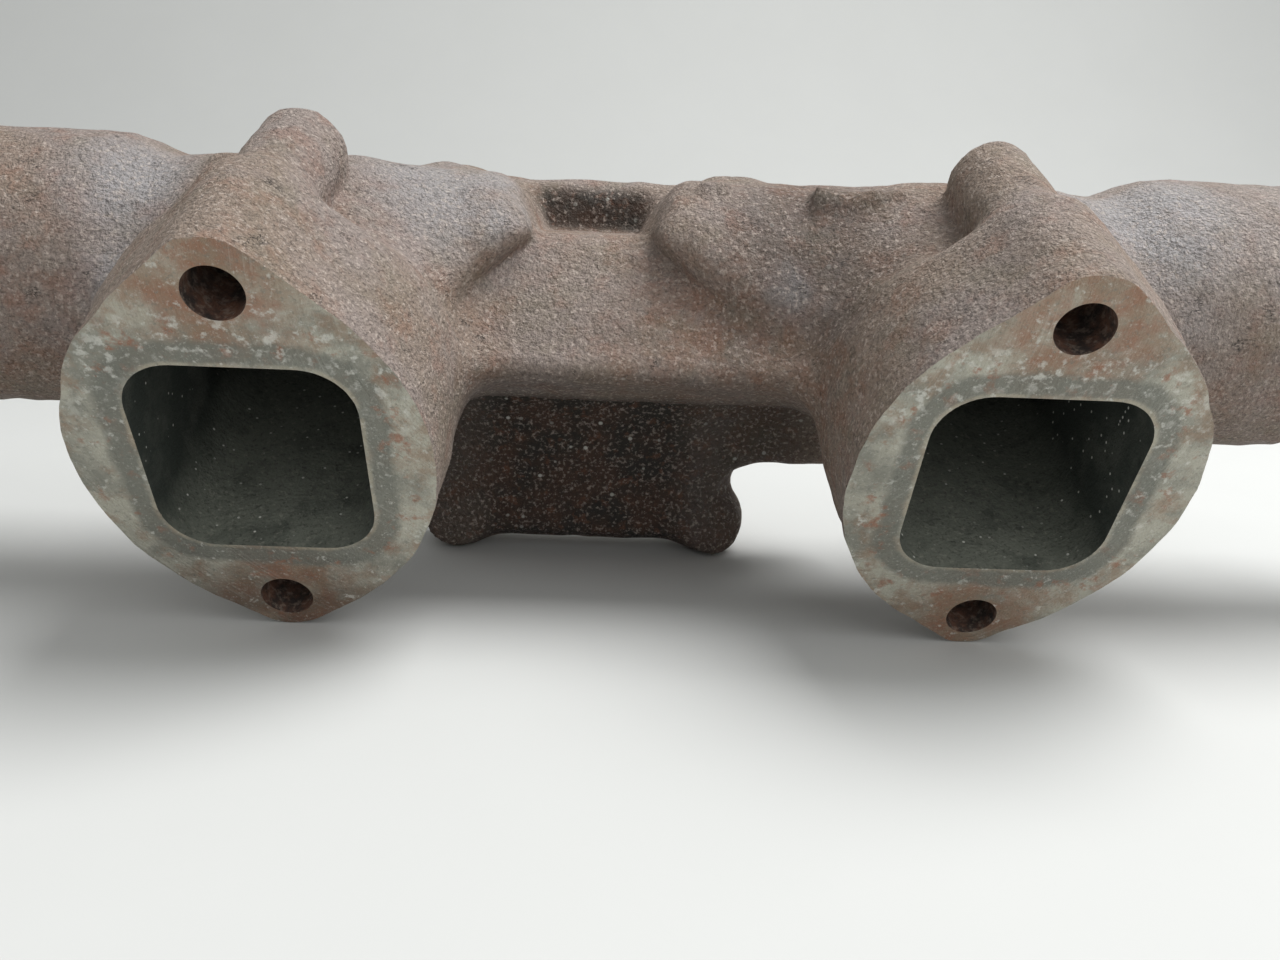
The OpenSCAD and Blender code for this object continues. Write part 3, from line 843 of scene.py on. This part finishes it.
class ManifoldCasting(bpy.types.PropertyGroup):
    cell: bpy.props.FloatProperty(
        name="Grid", description="Spacing of the grid that the casting is skinned on",
        default=1.42 * MM, min=1.2 * MM, max=4 * MM, subtype="DISTANCE", unit="LENGTH")
    fillet: bpy.props.FloatProperty(
        name="Fillet", description="Fillet where the runners meet the log",
        default=13 * MM, min=4 * MM, max=20 * MM, subtype="DISTANCE", unit="LENGTH")
    rough: bpy.props.FloatProperty(
        name="Unevenness", description="Height of the unevenness that rust scale gives the skin",
        default=0.34 * MM, min=0, max=0.6 * MM, subtype="DISTANCE", unit="LENGTH")
    crust: colour_property("Crust", "Plain rust crust", "8c7c6f")
    mauve: colour_property("Mauve crust", "Crust that was burnt longest", "908580")
    olive: colour_property("Olive crust", "Crust over oil and dirt", "7e7463")
    rust: colour_property("Rust", "Fresh rust", "8c5d45")
    # Partly a painted highlight: this pale colour goes on the humps' upward faces
    scale: colour_property("Scale", "Bluish scale on the humps", "9b9a9c")
    pale: colour_property("Grain", "Pale grains of the crust", "c6b8ad")
    pit: colour_property("Pits", "Pits and cracks", "2f2622")
    # Painted shade: a darker rust laid in the shaded parts under the web
    rust_in_shade: colour_property("Sooty rust", "Rust that shows through soot", "5e4234")
    # Painted shade under the web's lip and in the dip, laid over the crust; in the bores, holes and passages
    # it is soot
    soot_and_shade: colour_property("Soot", "Soot under the log", "23221e")
    black: colour_property("Passages", "Soot in the passages", "2c322c")
    dust: colour_property("Dust", "Dust on the floors of the passages", "74776c")
    milled: colour_property("Milled iron", "Milled faces", "a8a597")
    milled_dark: colour_property("Gasket print", "Where the gasket sat", "6b6c63")
    chalk: colour_property("White scale", "Crumbs of white scale and ash", "cfcec6")
    browned: colour_property("Browned iron", "Milled faces browned round the bolts", "866d57")
    lip: colour_property("Lip", "The bared edge of a port", "a39b88")


class ManifoldSleeves(bpy.types.PropertyGroup):
    chamfer: bpy.props.FloatProperty(
        name="Chamfer", description="Chamfer on the ends and the collar of a sleeve",
        default=0.8 * MM, min=0, max=1.5 * MM, subtype="DISTANCE", unit="LENGTH")
    steel: colour_property("Steel", "Bare turned steel", "8d8984")
    straw: colour_property("Straw", "Where the steel ran warm", "7a6248")
    blued: colour_property("Blue", "Where the steel ran hot", "565a6c")
    haze: colour_property("Haze", "Grey-brown haze of scale", "4b423d")


class ManifoldRings(bpy.types.PropertyGroup):
    count: bpy.props.IntProperty(
        name="Rings", description="Sealing rings at each end of a sleeve", default=3, min=1, max=3)
    ring: colour_property("Iron", "Ground ring iron", "8f8e8a")
    film: colour_property("Film", "Brown film on the rings", "6b5b4c")


class ManifoldStuds(bpy.types.PropertyGroup):
    pitch: bpy.props.FloatProperty(
        name="Pitch", description="Spacing of the threads",
        default=1.5 * MM, min=1 * MM, max=2 * MM, subtype="DISTANCE", unit="LENGTH")
    stud: colour_property("Steel", "Heat-darkened stud", "6d645c")
    stud_dark: colour_property("Roots", "Dark roots of the threads", "2c2725")
    rust: colour_property("Rust", "Rust on the studs", "7a4c34")


class ManifoldStage(bpy.types.PropertyGroup):
    paper: colour_property("Paper", "Background paper", "c3c4c2")
    paper_shade: colour_property("Paper shade", "Faint unevenness of the paper", "c6c7c5")
    room: bpy.props.FloatProperty(
        name="Room light", description="Strength of the light from all round", default=0.60, min=0, max=2)
    window: bpy.props.FloatProperty(
        name="Window", description="Power of the big soft light above and to the right",
        default=20, min=0, max=100, subtype="POWER", unit="POWER")


# --------------------------------------------------------------------------------------------------
# The pieces

# Kinds of surface on the casting, in the order of its material slots
SKIN, PORT_FACE, FACED, PASSAGE, SEAT, DRILLED = range(6)


def face_kinds(x, y, z, tol=0.06):
    """What kind of surface each point of the machined casting lies on, from its place over the bench."""
    ye, ze = engine_axes(y, z)
    kind = np.full(x.shape, SKIN)
    kind[passages(x, y, z) < 0.8] = PASSAGE
    from_axis = np.hypot(ye - LOG_Y, ze - LOG_Z)
    kind[(np.abs(from_axis - SEAT_R) < 0.15) & (np.abs(x) > HALF_LEN - SEAT_DEPTH)] = SEAT
    kind[(from_axis < SEAT_R) & (np.abs(np.abs(x) - HALF_LEN + SEAT_DEPTH) < tol)] = SEAT
    u = np.abs(x) - PORT_X
    kind[(np.hypot(u, np.abs(ze) - BOLT_Z) < BOLT_R + 0.1) & (ye < BLOCK_DEPTH + 4)] = DRILLED
    (u0, y0, z0), (u1, y1, z1) = TUBE_BORE
    t = np.clip((ye - y0) / (y1 - y0), 0, 1)
    from_tube = np.hypot(u - u0 - (u1 - u0) * t, ze - z0 - (z1 - z0) * t)
    kind[(from_tube < BOLT_R + 0.25) & (ye > y0 - 1)] = DRILLED
    stud = np.hypot(np.abs(x - TURBO_X) - STUD_DX / 2, np.abs(z - TURBO_Z) - STUD_DZ / 2)
    kind[(stud < STUD_HOLE_R + 0.1) & (y > TURBO_FACE - STUD_DEEP - tol)] = DRILLED
    kind[(stud < RELIEF_R + 0.1) & (y > TURBO_FACE - RELIEF_DEEP - tol)] = DRILLED
    kind[np.abs(ye) < tol] = PORT_FACE
    kind[(np.abs(y - TURBO_FACE) < tol) | (np.abs(np.abs(x) - HALF_LEN) < tol)] = FACED
    return kind


def mark_kinds(mesh, kinds):
    """Gives each face its kind's material slot, and keeps the shading apart where kinds meet or the edge is
    square."""
    mesh.polygons.foreach_set("material_index", kinds.astype(np.int32))
    mesh.shade_smooth()
    mesh.set_sharp_from_angle(angle=math.radians(50))
    loops = len(mesh.loops)
    edge = np.empty(loops, np.int32)
    mesh.loops.foreach_get("edge_index", edge)
    length = np.empty(len(mesh.polygons), np.int32)
    mesh.polygons.foreach_get("loop_total", length)
    of_loop = np.repeat(kinds, length)
    low = np.full(len(mesh.edges), 99)
    high = np.full(len(mesh.edges), -1)
    np.minimum.at(low, edge, of_loop)
    np.maximum.at(high, edge, of_loop)
    layer = mesh.attributes.get("sharp_edge") or mesh.attributes.new("sharp_edge", "BOOLEAN", "EDGE")
    sharp = np.empty(len(mesh.edges), bool)
    layer.data.foreach_get("value", sharp)
    layer.data.foreach_set("value", sharp | (low != high))
    mesh.update()


def paint(mesh, name, values):
    """Stores a number between 0 and 1 at each point, for a material to read."""
    layer = mesh.attributes.new(name, "FLOAT", "POINT")
    layer.data.foreach_set("value", np.clip(values, 0, 1).astype(np.float32))


# Where the skin has bluish scale, its pale colour partly a painted highlight on the humps, and where it is
# redder, over the bench:
# centre and reach in millimetres, then strength
SCALE_AND_SHEEN_SPOTS = ((112, 14, 92, 24, 1.0), (-110, 14, 92, 17, 1.0), (-42, 16, 94, 24, 0.9),
               (150, 10, 90, 30, 0.5),
               (118, 0, 68, 16, 0.6), (-108, 0, 70, 15, 0.9), (30, 8, 76, 8, 0.8), (52, 6, 76, 9, 0.8))
RED_SPOTS = ((18, 12, 66, 26, 0.8), (40, 20, 95, 16, 0.8), (42, -8, 50, 22, 0.9), (150, 4, 60, 26, 0.5),
             (-146, 8, 72, 36, 1.0), (-60, 0, 88, 20, 0.4), (-20, 40, 88, 18, 0.6), (80, -20, 92, 16, 0.5))

# Where the crust is painted darker as painted shade: the right hump's side away from the light, and under the
# web's lip
PAINTED_SHADE_SPOTS = ((34, 12, 90, 24, 0.42), (48, 4, 72, 18, 0.38), (0, 6, 53, 40, 0.30), (-20, 6, 53, 40, 0.30))


def spots(x, y, z, places):
    """How near each point is to the nearest of some places, fading to 0 at their reach."""
    most = np.zeros(x.shape)
    for px, py, pz, reach, strength in places:
        away = np.sqrt((x - px) ** 2 + (y - py) ** 2 + (z - pz) ** 2)
        most = np.maximum(most, strength * (1 - ramp(away, 0.3 * reach, 1.2 * reach)))
    return most


class MANIFOLD_OT_casting(bpy.types.Operator):
    """Pours, skins and machines the casting"""
    bl_idname = "manifold.casting"
    bl_label = "Casting"

    def execute(self, context):
        look = context.scene.manifold_casting
        cell = look.cell / MM * 1
        fillet = look.fillet / MM
        low = np.array((-HALF_LEN - 9, -58.0, -5.0))
        high = np.array((HALF_LEN + 9, TURBO_FACE + 9, 114.0))
        axes = [np.arange(low[i], high[i] + cell, cell) for i in range(3)]
        x, y, z = np.meshgrid(*axes, indexing="ij")
        solid = body(x, y, z, fillet)
        solid += look.rough / MM * (0.8 * lumps(x, y, z, 9, SEED) + 0.9 * lumps(x, y, z, 3.6, SEED + 1))
        solid = carve(solid, passages(x, y, z), 1.5)
        points, faces = skin(solid, low, cell)
        points[:, 2] = np.maximum(points[:, 2], 0)
        points[:, 1] -= CENTRE_Y
        obj = new_object("casting", mesh_from("casting", points * MM, faces))
        cut(obj, self.tools())
        mesh = obj.data
        mesh.materials.clear()

        centre = np.empty(len(mesh.polygons) * 3)
        mesh.polygons.foreach_get("center", centre)
        x, y, z = centre.reshape(-1, 3).T / MM
        mark_kinds(mesh, face_kinds(x, y + CENTRE_Y, z))
        place = np.empty(len(mesh.vertices) * 3)
        mesh.vertices.foreach_get("co", place)
        normal = np.empty(len(mesh.vertices) * 3)
        mesh.vertices.foreach_get("normal", normal)
        x, y, z = place.reshape(-1, 3).T / MM
        y = y + CENTRE_Y
        nx, ny, nz = normal.reshape(-1, 3).T
        # A point is in a crease when the iron is still near 7 mm straight out from it
        out = 7.0
        ahead = body(x + out * nx, y + out * ny, z + out * nz, fillet)
        paint(mesh, "crease", 1.3 * (1 - ahead / out))
        # Bluish scale, partly a painted highlight: on the humps, and only on faces that look up
        paint(mesh, "scale", spots(x, y, z, SCALE_AND_SHEEN_SPOTS) * ramp(nz, -0.6, 0.4))
        paint(mesh, "red", spots(x, y, z, RED_SPOTS))
        # Painted shade: the crust is darkened under the web's lip, most in the recess over the turbo duct, on
        # the dip's faces that look forwards, and at the spots listed above
        under = ramp(-z, -57, -51) * ramp(y, 12, 30) * (1 - ramp(np.abs(x - TURBO_X), 48, 70))
        middle = 1 - ramp(np.abs(x - TURBO_X), 20, 32)
        under = under * ramp(TURBO_FRONT + 2 - y, 0, 4) * (0.66 + 0.34 * middle)
        dip = (1 - ramp(np.abs(x - TURBO_X), 11, 18)) * ramp(z, 86.5, 89)
        dip = dip * (1 - ramp(z, 96, 100)) * ramp(y, 26, 34)
        shade_spots = spots(x, y, z, PAINTED_SHADE_SPOTS) * np.where(z < 57.5, 1, ramp(x, 10, 22))
        paint(mesh, "soot_and_shade", np.maximum(np.maximum(under, 0.9 * dip * ramp(-ny, 0.0, 0.5)), shade_spots))
        for build in (rusted_grey_iron, milled_port_iron, faced_iron, sooted_iron, bored_iron, drilled_iron):
            mesh.materials.append(build(look))
        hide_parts("manifold_casting")
        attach(obj, "manifold")
        return {"FINISHED"}

    def tools(self):
        """The mills, boring bars and drills that finish the casting."""
        level = Matrix.Identity(3)
        tilt = Matrix.Rotation(LEAN, 3, "X")
        axis = bench_point(0, AXIS_Y, AXIS_Z)
        out = []
        for s in (-1, 1):
            out.append(block_cutter("mill_port", engine_point(s * PORT_X, -20, 0), tilt, (0.12, 0.04, 0.16)))
            out.append(block_cutter("face_mouth", axis + Vector((s * (HALF_LEN + 15) * MM, 0, 0)), level,
                                    (0.03, 0.1, 0.1)))
            out.append(round_cutter("bore_seat", axis + Vector((s * (HALF_LEN + 9) * MM, 0, 0)),
                                    axis + Vector((s * (HALF_LEN - SEAT_DEPTH) * MM, 0,
                                                   0)), SEAT_R * MM, 144))
            out.append(round_cutter("drill_low", engine_point(s * PORT_X, -9, -BOLT_Z),
                                    engine_point(s * PORT_X, BLOCK_DEPTH + 40, -BOLT_Z), BOLT_R * MM))
            out.append(round_cutter("drill_high", engine_point(s * PORT_X, -9, BOLT_Z),
                                    engine_point(s * PORT_X, BLOCK_DEPTH + 3, BOLT_Z), BOLT_R * MM))
            ends = [engine_point(s * (PORT_X + across), back, up) for across, back, up in TUBE_BORE]
            out.append(round_cutter("drill_tube", *ends, BOLT_R * MM))
            for v in (-1, 1):
                stud_x, stud_z = TURBO_X + s * STUD_DX / 2, TURBO_Z + v * STUD_DZ / 2
                out.append(round_cutter("drill_stud", bench_point(stud_x, TURBO_FACE + 9, stud_z),
                                        bench_point(stud_x, TURBO_FACE - STUD_DEEP,
                                                    stud_z), STUD_HOLE_R * MM, 48))
                out.append(round_cutter("relieve_stud", bench_point(stud_x, TURBO_FACE + 9, stud_z),
                                        bench_point(stud_x, TURBO_FACE - RELIEF_DEEP,
                                                    stud_z), RELIEF_R * MM, 48))
        out.append(block_cutter("mill_turbo", bench_point(TURBO_X, TURBO_FACE + 20, TURBO_Z), level,
                                (0.14, 0.04, 0.16)))
        return out


def turned(name, profile, centre, side, segments=128):
    """A closed ring turned round the log's axis. The profile is its section, as (distance out, radius) in
    mm."""
    points, faces = [], []
    n = len(profile)
    for k in range(segments):
        a = 2 * math.pi * k / segments
        for out, radius in profile:
            points.append(centre + Vector((side * out, radius * math.cos(a), radius * math.sin(a))) * MM)
        for i in range(n):
            j, m = (i + 1) % n, (k + 1) % segments
            faces.append((k * n + i, k * n + j, m * n + j, m * n + i))
    mesh = bpy.data.meshes.new(name)
    mesh.from_pydata(points, [], faces)
    tidy_normals(mesh)
    return mesh


def tidy_normals(mesh):
    """Merges doubles and turns every face of a closed mesh outwards."""
    work = bmesh.new()
    work.from_mesh(mesh)
    bmesh.ops.remove_doubles(work, verts=work.verts, dist=1e-7)
    bmesh.ops.recalc_face_normals(work, faces=work.faces)
    if work.calc_volume(signed=True) < 0:
        bmesh.ops.reverse_faces(work, faces=work.faces)
    work.to_mesh(mesh)
    work.free()
    mesh.shade_smooth()
    mesh.set_sharp_from_angle(angle=math.radians(30))


def grooves(places, floor):
    """The section of a sleeve's ring grooves, 0.2 mm wider than the rings, as (distance out, radius) in
    mm."""
    half = (RING_W + 0.2) / 2
    section = []
    for middle in places:
        section += [(middle - half, SLEEVE_R), (middle - half, floor),
                    (middle + half, floor), (middle + half, SLEEVE_R)]
    return section


class MANIFOLD_OT_sleeves(bpy.types.Operator):
    """Turns the two slip sleeves"""
    bl_idname = "manifold.sleeves"
    bl_label = "Slip sleeves"

    def execute(self, context):
        look = context.scene.manifold_sleeves
        finish = turned_steel(look)
        c = look.chamfer / MM
        floor = SEAT_R - 0.05 - RING_T - 0.3
        for s, name in ((-1, "left"), (1, "right")):
            profile = [(-REACH, SLEEVE_BORE_R + c / 2), (-REACH, SLEEVE_R - c), (-REACH + c, SLEEVE_R)]
            profile += grooves(reversed(ring_places("socket")), floor)
            first, last = COLLAR_GAP, COLLAR_GAP + COLLAR_W
            profile += [(first, SLEEVE_R), (first, COLLAR_R - c), (first + c, COLLAR_R), (last - c, COLLAR_R),
                        (last, COLLAR_R - c), (last, SLEEVE_R)]
            profile += grooves(ring_places("outer"), floor)
            end = first + last + REACH
            profile += [(end - c, SLEEVE_R), (end, SLEEVE_R - c), (end, SLEEVE_BORE_R + c / 2),
                        (end - c / 2, SLEEVE_BORE_R), (-REACH + c / 2, SLEEVE_BORE_R)]
            mouth = bench_point(s * HALF_LEN, AXIS_Y, AXIS_Z)
            obj = new_object(name + "_sleeve", turned(name + "_sleeve", profile, mouth, s))
            obj.data.materials.append(finish)
            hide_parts(name + "_slip_sleeve")
            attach(obj, name + "_sleeve")
        return {"FINISHED"}


def ring_places(end):
    """How far each ring's middle is out from the socket's mouth, in millimetres, first the nearest to the
    collar."""
    middle = COLLAR_GAP + COLLAR_W / 2
    if end == "socket":
        return [-FIRST_RING - RING_PITCH * i for i in range(3)]
    return [2 * middle + FIRST_RING + RING_PITCH * i for i in range(3)]


def socket_id(tree, name):
    """The identifier of a node tree's input, by which a modifier knows it."""
    return next(item.identifier for item in tree.interface.items_tree if item.name == name)


def ring_tree(finish):
    """Lays a pack of split rings along X: one ring bent from a square bar, then repeated, each turned a
    third round."""
    tree = bpy.data.node_groups.new("ring_pack", "GeometryNodeTree")
    face = tree.interface
    face.new_socket("Geometry", in_out="OUTPUT", socket_type="NodeSocketGeometry")
    for name, kind in (("Count", "NodeSocketInt"), ("Pitch", "NodeSocketFloat"),
                       ("Radius", "NodeSocketFloat"),
                       ("Thickness", "NodeSocketFloat"), ("Width", "NodeSocketFloat"), ("Start",
                                                                                        "NodeSocketVector")):
        face.new_socket(name, in_out="INPUT", socket_type=kind)
    given = add(tree, "NodeGroupInput").outputs
    half = add(tree, "ShaderNodeMath", {"operation": "MULTIPLY"}, i0=given["Thickness"], i1=0.5).outputs[0]
    middle = add(tree, "ShaderNodeMath", {"operation": "SUBTRACT"}, i0=given["Radius"], i1=half).outputs[0]
    arc = add(tree, "GeometryNodeCurveArc", {"mode": "RADIUS"}, Resolution=121, Radius=middle,
              Start_Angle=0.0, Sweep_Angle=math.radians(360 - RING_SPLIT))
    bar = add(tree, "GeometryNodeCurvePrimitiveQuadrilateral", {"mode": "RECTANGLE"},
              Width=given["Thickness"], Height=given["Width"])
    bent = add(tree, "GeometryNodeCurveToMesh", Curve=arc.outputs[0], Profile_Curve=bar.outputs[0],
               Fill_Caps=True)
    crisp = add(tree, "GeometryNodeSetShadeSmooth", Geometry=bent.outputs[0], Shade_Smooth=False)
    # The arc lies flat, so it is stood up to go round X
    stood = add(tree, "GeometryNodeTransform", Geometry=crisp.outputs[0], Rotation=(0, math.radians(90), 0))
    step = add(tree, "ShaderNodeCombineXYZ", X=given["Pitch"]).outputs[0]
    line = add(tree, "GeometryNodeMeshLine", {"mode": "OFFSET"}, Count=given["Count"],
               Start_Location=given["Start"], Offset=step)
    number = add(tree, "GeometryNodeInputIndex").outputs[0]
    turn = add(tree, "ShaderNodeMath", {"operation": "MULTIPLY"}, i0=number, i1=math.radians(120)).outputs[0]
    spin = add(tree, "ShaderNodeCombineXYZ", X=turn).outputs[0]
    laid = add(tree, "GeometryNodeInstanceOnPoints", Points=line.outputs[0], Instance=stood.outputs[0],
               Rotation=spin)
    real = add(tree, "GeometryNodeRealizeInstances", Geometry=laid.outputs[0])
    done = add(tree, "GeometryNodeSetMaterial", Geometry=real.outputs[0], Material=finish)
    add(tree, "NodeGroupOutput", Geometry=done.outputs[0])
    return tree


def grown(name, mesh, tree, values, finish):
    """The plain mesh that a node tree makes on a start mesh, given its inputs' values by name."""
    obj = new_object(name, mesh)
    change = obj.modifiers.new("grow", "NODES")
    change.node_group = tree
    for key, value in values.items():
        change[socket_id(tree, key)] = value
    done = bpy.data.meshes.new_from_object(obj.evaluated_get(bpy.context.evaluated_depsgraph_get()))
    obj.modifiers.clear()
    obj.data = done
    bpy.data.meshes.remove(mesh)
    done.name = name
    tidy_normals(done)
    done.materials.clear()
    done.materials.append(finish)
    return obj


class MANIFOLD_OT_rings(bpy.types.Operator):
    """Lays the sealing rings in their grooves"""
    bl_idname = "manifold.rings"
    bl_label = "Sealing rings"

    def execute(self, context):
        look = context.scene.manifold_rings
        finish = ground_iron(look)
        tree = ring_tree(finish)
        for s, side in ((-1, "left"), (1, "right")):
            for end, ridden in (("socket", side + "_ring_pack"), ("outer", side + "_sleeve")):
                places = ring_places(end)
                start = bench_point(s * (HALF_LEN + places[0]), AXIS_Y, AXIS_Z)
                obj = grown(f"{side}_{end}_rings", bpy.data.meshes.new("start"), tree, {
                    "Count": look.count, "Pitch": s * (places[1] - places[0]) * MM,
                    "Radius": (SEAT_R - 0.05) * MM,
                    "Thickness": RING_T * MM, "Width": RING_W * MM, "Start": tuple(start)}, finish)
                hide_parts(*[f"{side}_{end}_ring_{n}" for n in (1, 2, 3)])
                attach(obj, ridden)
        return {"FINISHED"}


def threaded_rod(name, pitch):
    """One stud along +Z, closed at both ends, its thread cut as a helix. Its length below 0 is buried."""
    around, steps = 28, 6
    low, high = 1 - STUD_DEEP, STUD_OUT
    rows = int(round((high - low) / pitch * steps))
    crest, root = STUD_R, STUD_R - 0.60 * pitch
    points, faces = [], []
    for r in range(rows + 1):
        z = low + (high - low) * r / rows
        for k in range(around):
            phase = (z / pitch - k / around) % 1.0
            depth = min(max(2.6 * abs(phase - 0.5) - 0.15, 0), 1)
            radius = crest + (root - crest) * depth
            if z < 0.3:
                radius = min(radius, PITCH_R)
            # Both ends are chamfered over 1.2 mm
            radius = min(radius, crest - max(0, 1.2 - min(z - low, high - z)))
            a = 2 * math.pi * k / around
            points.append((radius * math.cos(a) * MM, radius * math.sin(a) * MM, z * MM))
    for r in range(rows):
        for k in range(around):
            m = (k + 1) % around
            faces.append((r * around + k, r * around + m, (r + 1) * around + m, (r + 1) * around + k))
    faces.append(tuple(range(around - 1, -1, -1)))
    faces.append(tuple(rows * around + k for k in range(around)))
    mesh = bpy.data.meshes.new(name)
    mesh.from_pydata(points, [], faces)
    return mesh


def stud_tree(finish):
    """Sets a stud at each of the four corners of a flange that faces +Y."""
    tree = bpy.data.node_groups.new("stud_pattern", "GeometryNodeTree")
    face = tree.interface
    face.new_socket("Geometry", in_out="OUTPUT", socket_type="NodeSocketGeometry")
    face.new_socket("Stud", in_out="INPUT", socket_type="NodeSocketGeometry")
    for name, kind in (("Across", "NodeSocketFloat"), ("Up", "NodeSocketFloat"),
                       ("Centre", "NodeSocketVector")):
        face.new_socket(name, in_out="INPUT", socket_type=kind)
    given = add(tree, "NodeGroupInput").outputs
    flat = add(tree, "GeometryNodeMeshGrid", Size_X=given["Across"], Size_Y=given["Up"], Vertices_X=2,
               Vertices_Y=2)
    # The pattern is drawn on the floor with the studs upright, then tipped so that they point to +Y
    laid = add(tree, "GeometryNodeInstanceOnPoints", Points=flat.outputs[0], Instance=given["Stud"])
    real = add(tree, "GeometryNodeRealizeInstances", Geometry=laid.outputs[0])
    tipped = add(tree, "GeometryNodeTransform", Geometry=real.outputs[0], Translation=given["Centre"],
                 Rotation=(math.radians(-90), 0, 0))
    done = add(tree, "GeometryNodeSetMaterial", Geometry=tipped.outputs[0], Material=finish)
    add(tree, "NodeGroupOutput", Geometry=done.outputs[0])
    return tree


class MANIFOLD_OT_studs(bpy.types.Operator):
    """Screws the four studs into the turbo flange"""
    bl_idname = "manifold.studs"
    bl_label = "Turbo studs"

    def execute(self, context):
        look = context.scene.manifold_studs
        finish = rolled_steel(look)
        obj = grown("turbo_studs", threaded_rod("turbo_stud", look.pitch / MM), stud_tree(finish), {
            "Across": STUD_DX * MM, "Up": STUD_DZ * MM,
            "Centre": tuple(bench_point(TURBO_X, TURBO_FACE, TURBO_Z))}, finish)
        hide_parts(*[f"turbo_stud_{n}" for n in (1, 2, 3, 4)])
        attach(obj, "manifold")
        return {"FINISHED"}


class MANIFOLD_OT_stage(bpy.types.Operator):
    """Sets up the paper, the lights and the camera"""
    bl_idname = "manifold.stage"
    bl_label = "Stage"

    def execute(self, context):
        scene = context.scene
        look = scene.manifold_stage
        camera = bpy.data.objects.new("camera", bpy.data.cameras.new("camera"))
        camera.location = CAMERA_PLACE
        camera.rotation_euler = [math.radians(a) for a in CAMERA_TURN]
        camera.data.lens = CAMERA_LENS
        camera.data.sensor_width = 36
        camera.data.clip_start = 0.01
        scene.collection.objects.link(camera)
        scene.camera = camera

        # A roll of paper: flat under the part, then bent up behind it
        run, rise, bend, half = 1.2, 1.4, 0.5, 2.5
        profile = [(-1.5, 0)]
        for a in np.linspace(0, math.pi / 2, 24):
            profile.append((run - bend + bend * math.sin(a), bend - bend * math.cos(a)))
        profile.append((run, rise))
        points = [(x, y, z) for y, z in profile for x in (-half, half)]
        faces = [(2 * i, 2 * i + 1, 2 * i + 3, 2 * i + 2) for i in range(len(profile) - 1)]
        mesh = bpy.data.meshes.new("paper_sweep")
        mesh.from_pydata(points, [], faces)
        mesh.shade_smooth()
        mesh.materials.append(matt_paper(look))
        new_object("paper_sweep", mesh)

        world = bpy.data.worlds.new("soft_room")
        world.use_nodes = True
        world.node_tree.nodes["Background"].inputs["Color"].default_value = linear("eceeee")
        world.node_tree.nodes["Background"].inputs["Strength"].default_value = look.room
        scene.world = world
        for name, place, aim, size, power in (
            ("window", (0.50, 0.05, 1.15), (0, 0, 0), 0.9, look.window),
            ("fill", (0.5, -1.0, 0.7), (0, 0, 0.05), 1.2, 5),
        ):
            lamp = bpy.data.objects.new(name, bpy.data.lights.new(name, "AREA"))
            lamp.data.size = size
            lamp.data.energy = power
            lamp.location = place
            lamp.rotation_euler = (Vector(aim) - Vector(place)).to_track_quat("-Z", "Y").to_euler()
            scene.collection.objects.link(lamp)
        scene.view_settings.view_transform = "Standard"
        return {"FINISHED"}


# --------------------------------------------------------------------------------------------------
# The add-on

STEPS = (MANIFOLD_OT_casting, MANIFOLD_OT_sleeves, MANIFOLD_OT_rings, MANIFOLD_OT_studs, MANIFOLD_OT_stage)
GROUPS = {"manifold_casting": ManifoldCasting, "manifold_sleeves": ManifoldSleeves,
          "manifold_rings": ManifoldRings,
          "manifold_studs": ManifoldStuds, "manifold_stage": ManifoldStage}


class MANIFOLD_PT_panel(bpy.types.Panel):
    """Lists the pieces, their sizes and their colours"""
    bl_label = "Manifold"
    bl_idname = "MANIFOLD_PT_panel"
    bl_space_type = "VIEW_3D"
    bl_region_type = "UI"
    bl_category = "Manifold"

    def draw(self, context):
        for (name, group), step in zip(GROUPS.items(), STEPS):
            box = self.layout.box()
            box.operator(step.bl_idname)
            for key in group.__annotations__:
                box.prop(getattr(context.scene, name), key)


def register():
    for cls in (*GROUPS.values(), *STEPS, MANIFOLD_PT_panel):
        bpy.utils.register_class(cls)
    for name, group in GROUPS.items():
        setattr(bpy.types.Scene, name, bpy.props.PointerProperty(type=group))


def unregister():
    for name in GROUPS:
        delattr(bpy.types.Scene, name)
    for cls in reversed((*GROUPS.values(), *STEPS, MANIFOLD_PT_panel)):
        bpy.utils.unregister_class(cls)


def main():
    register()
    for step in STEPS:
        area, name = step.bl_idname.split(".")
        getattr(getattr(bpy.ops, area), name)()


if __name__ == "__main__":
    main()
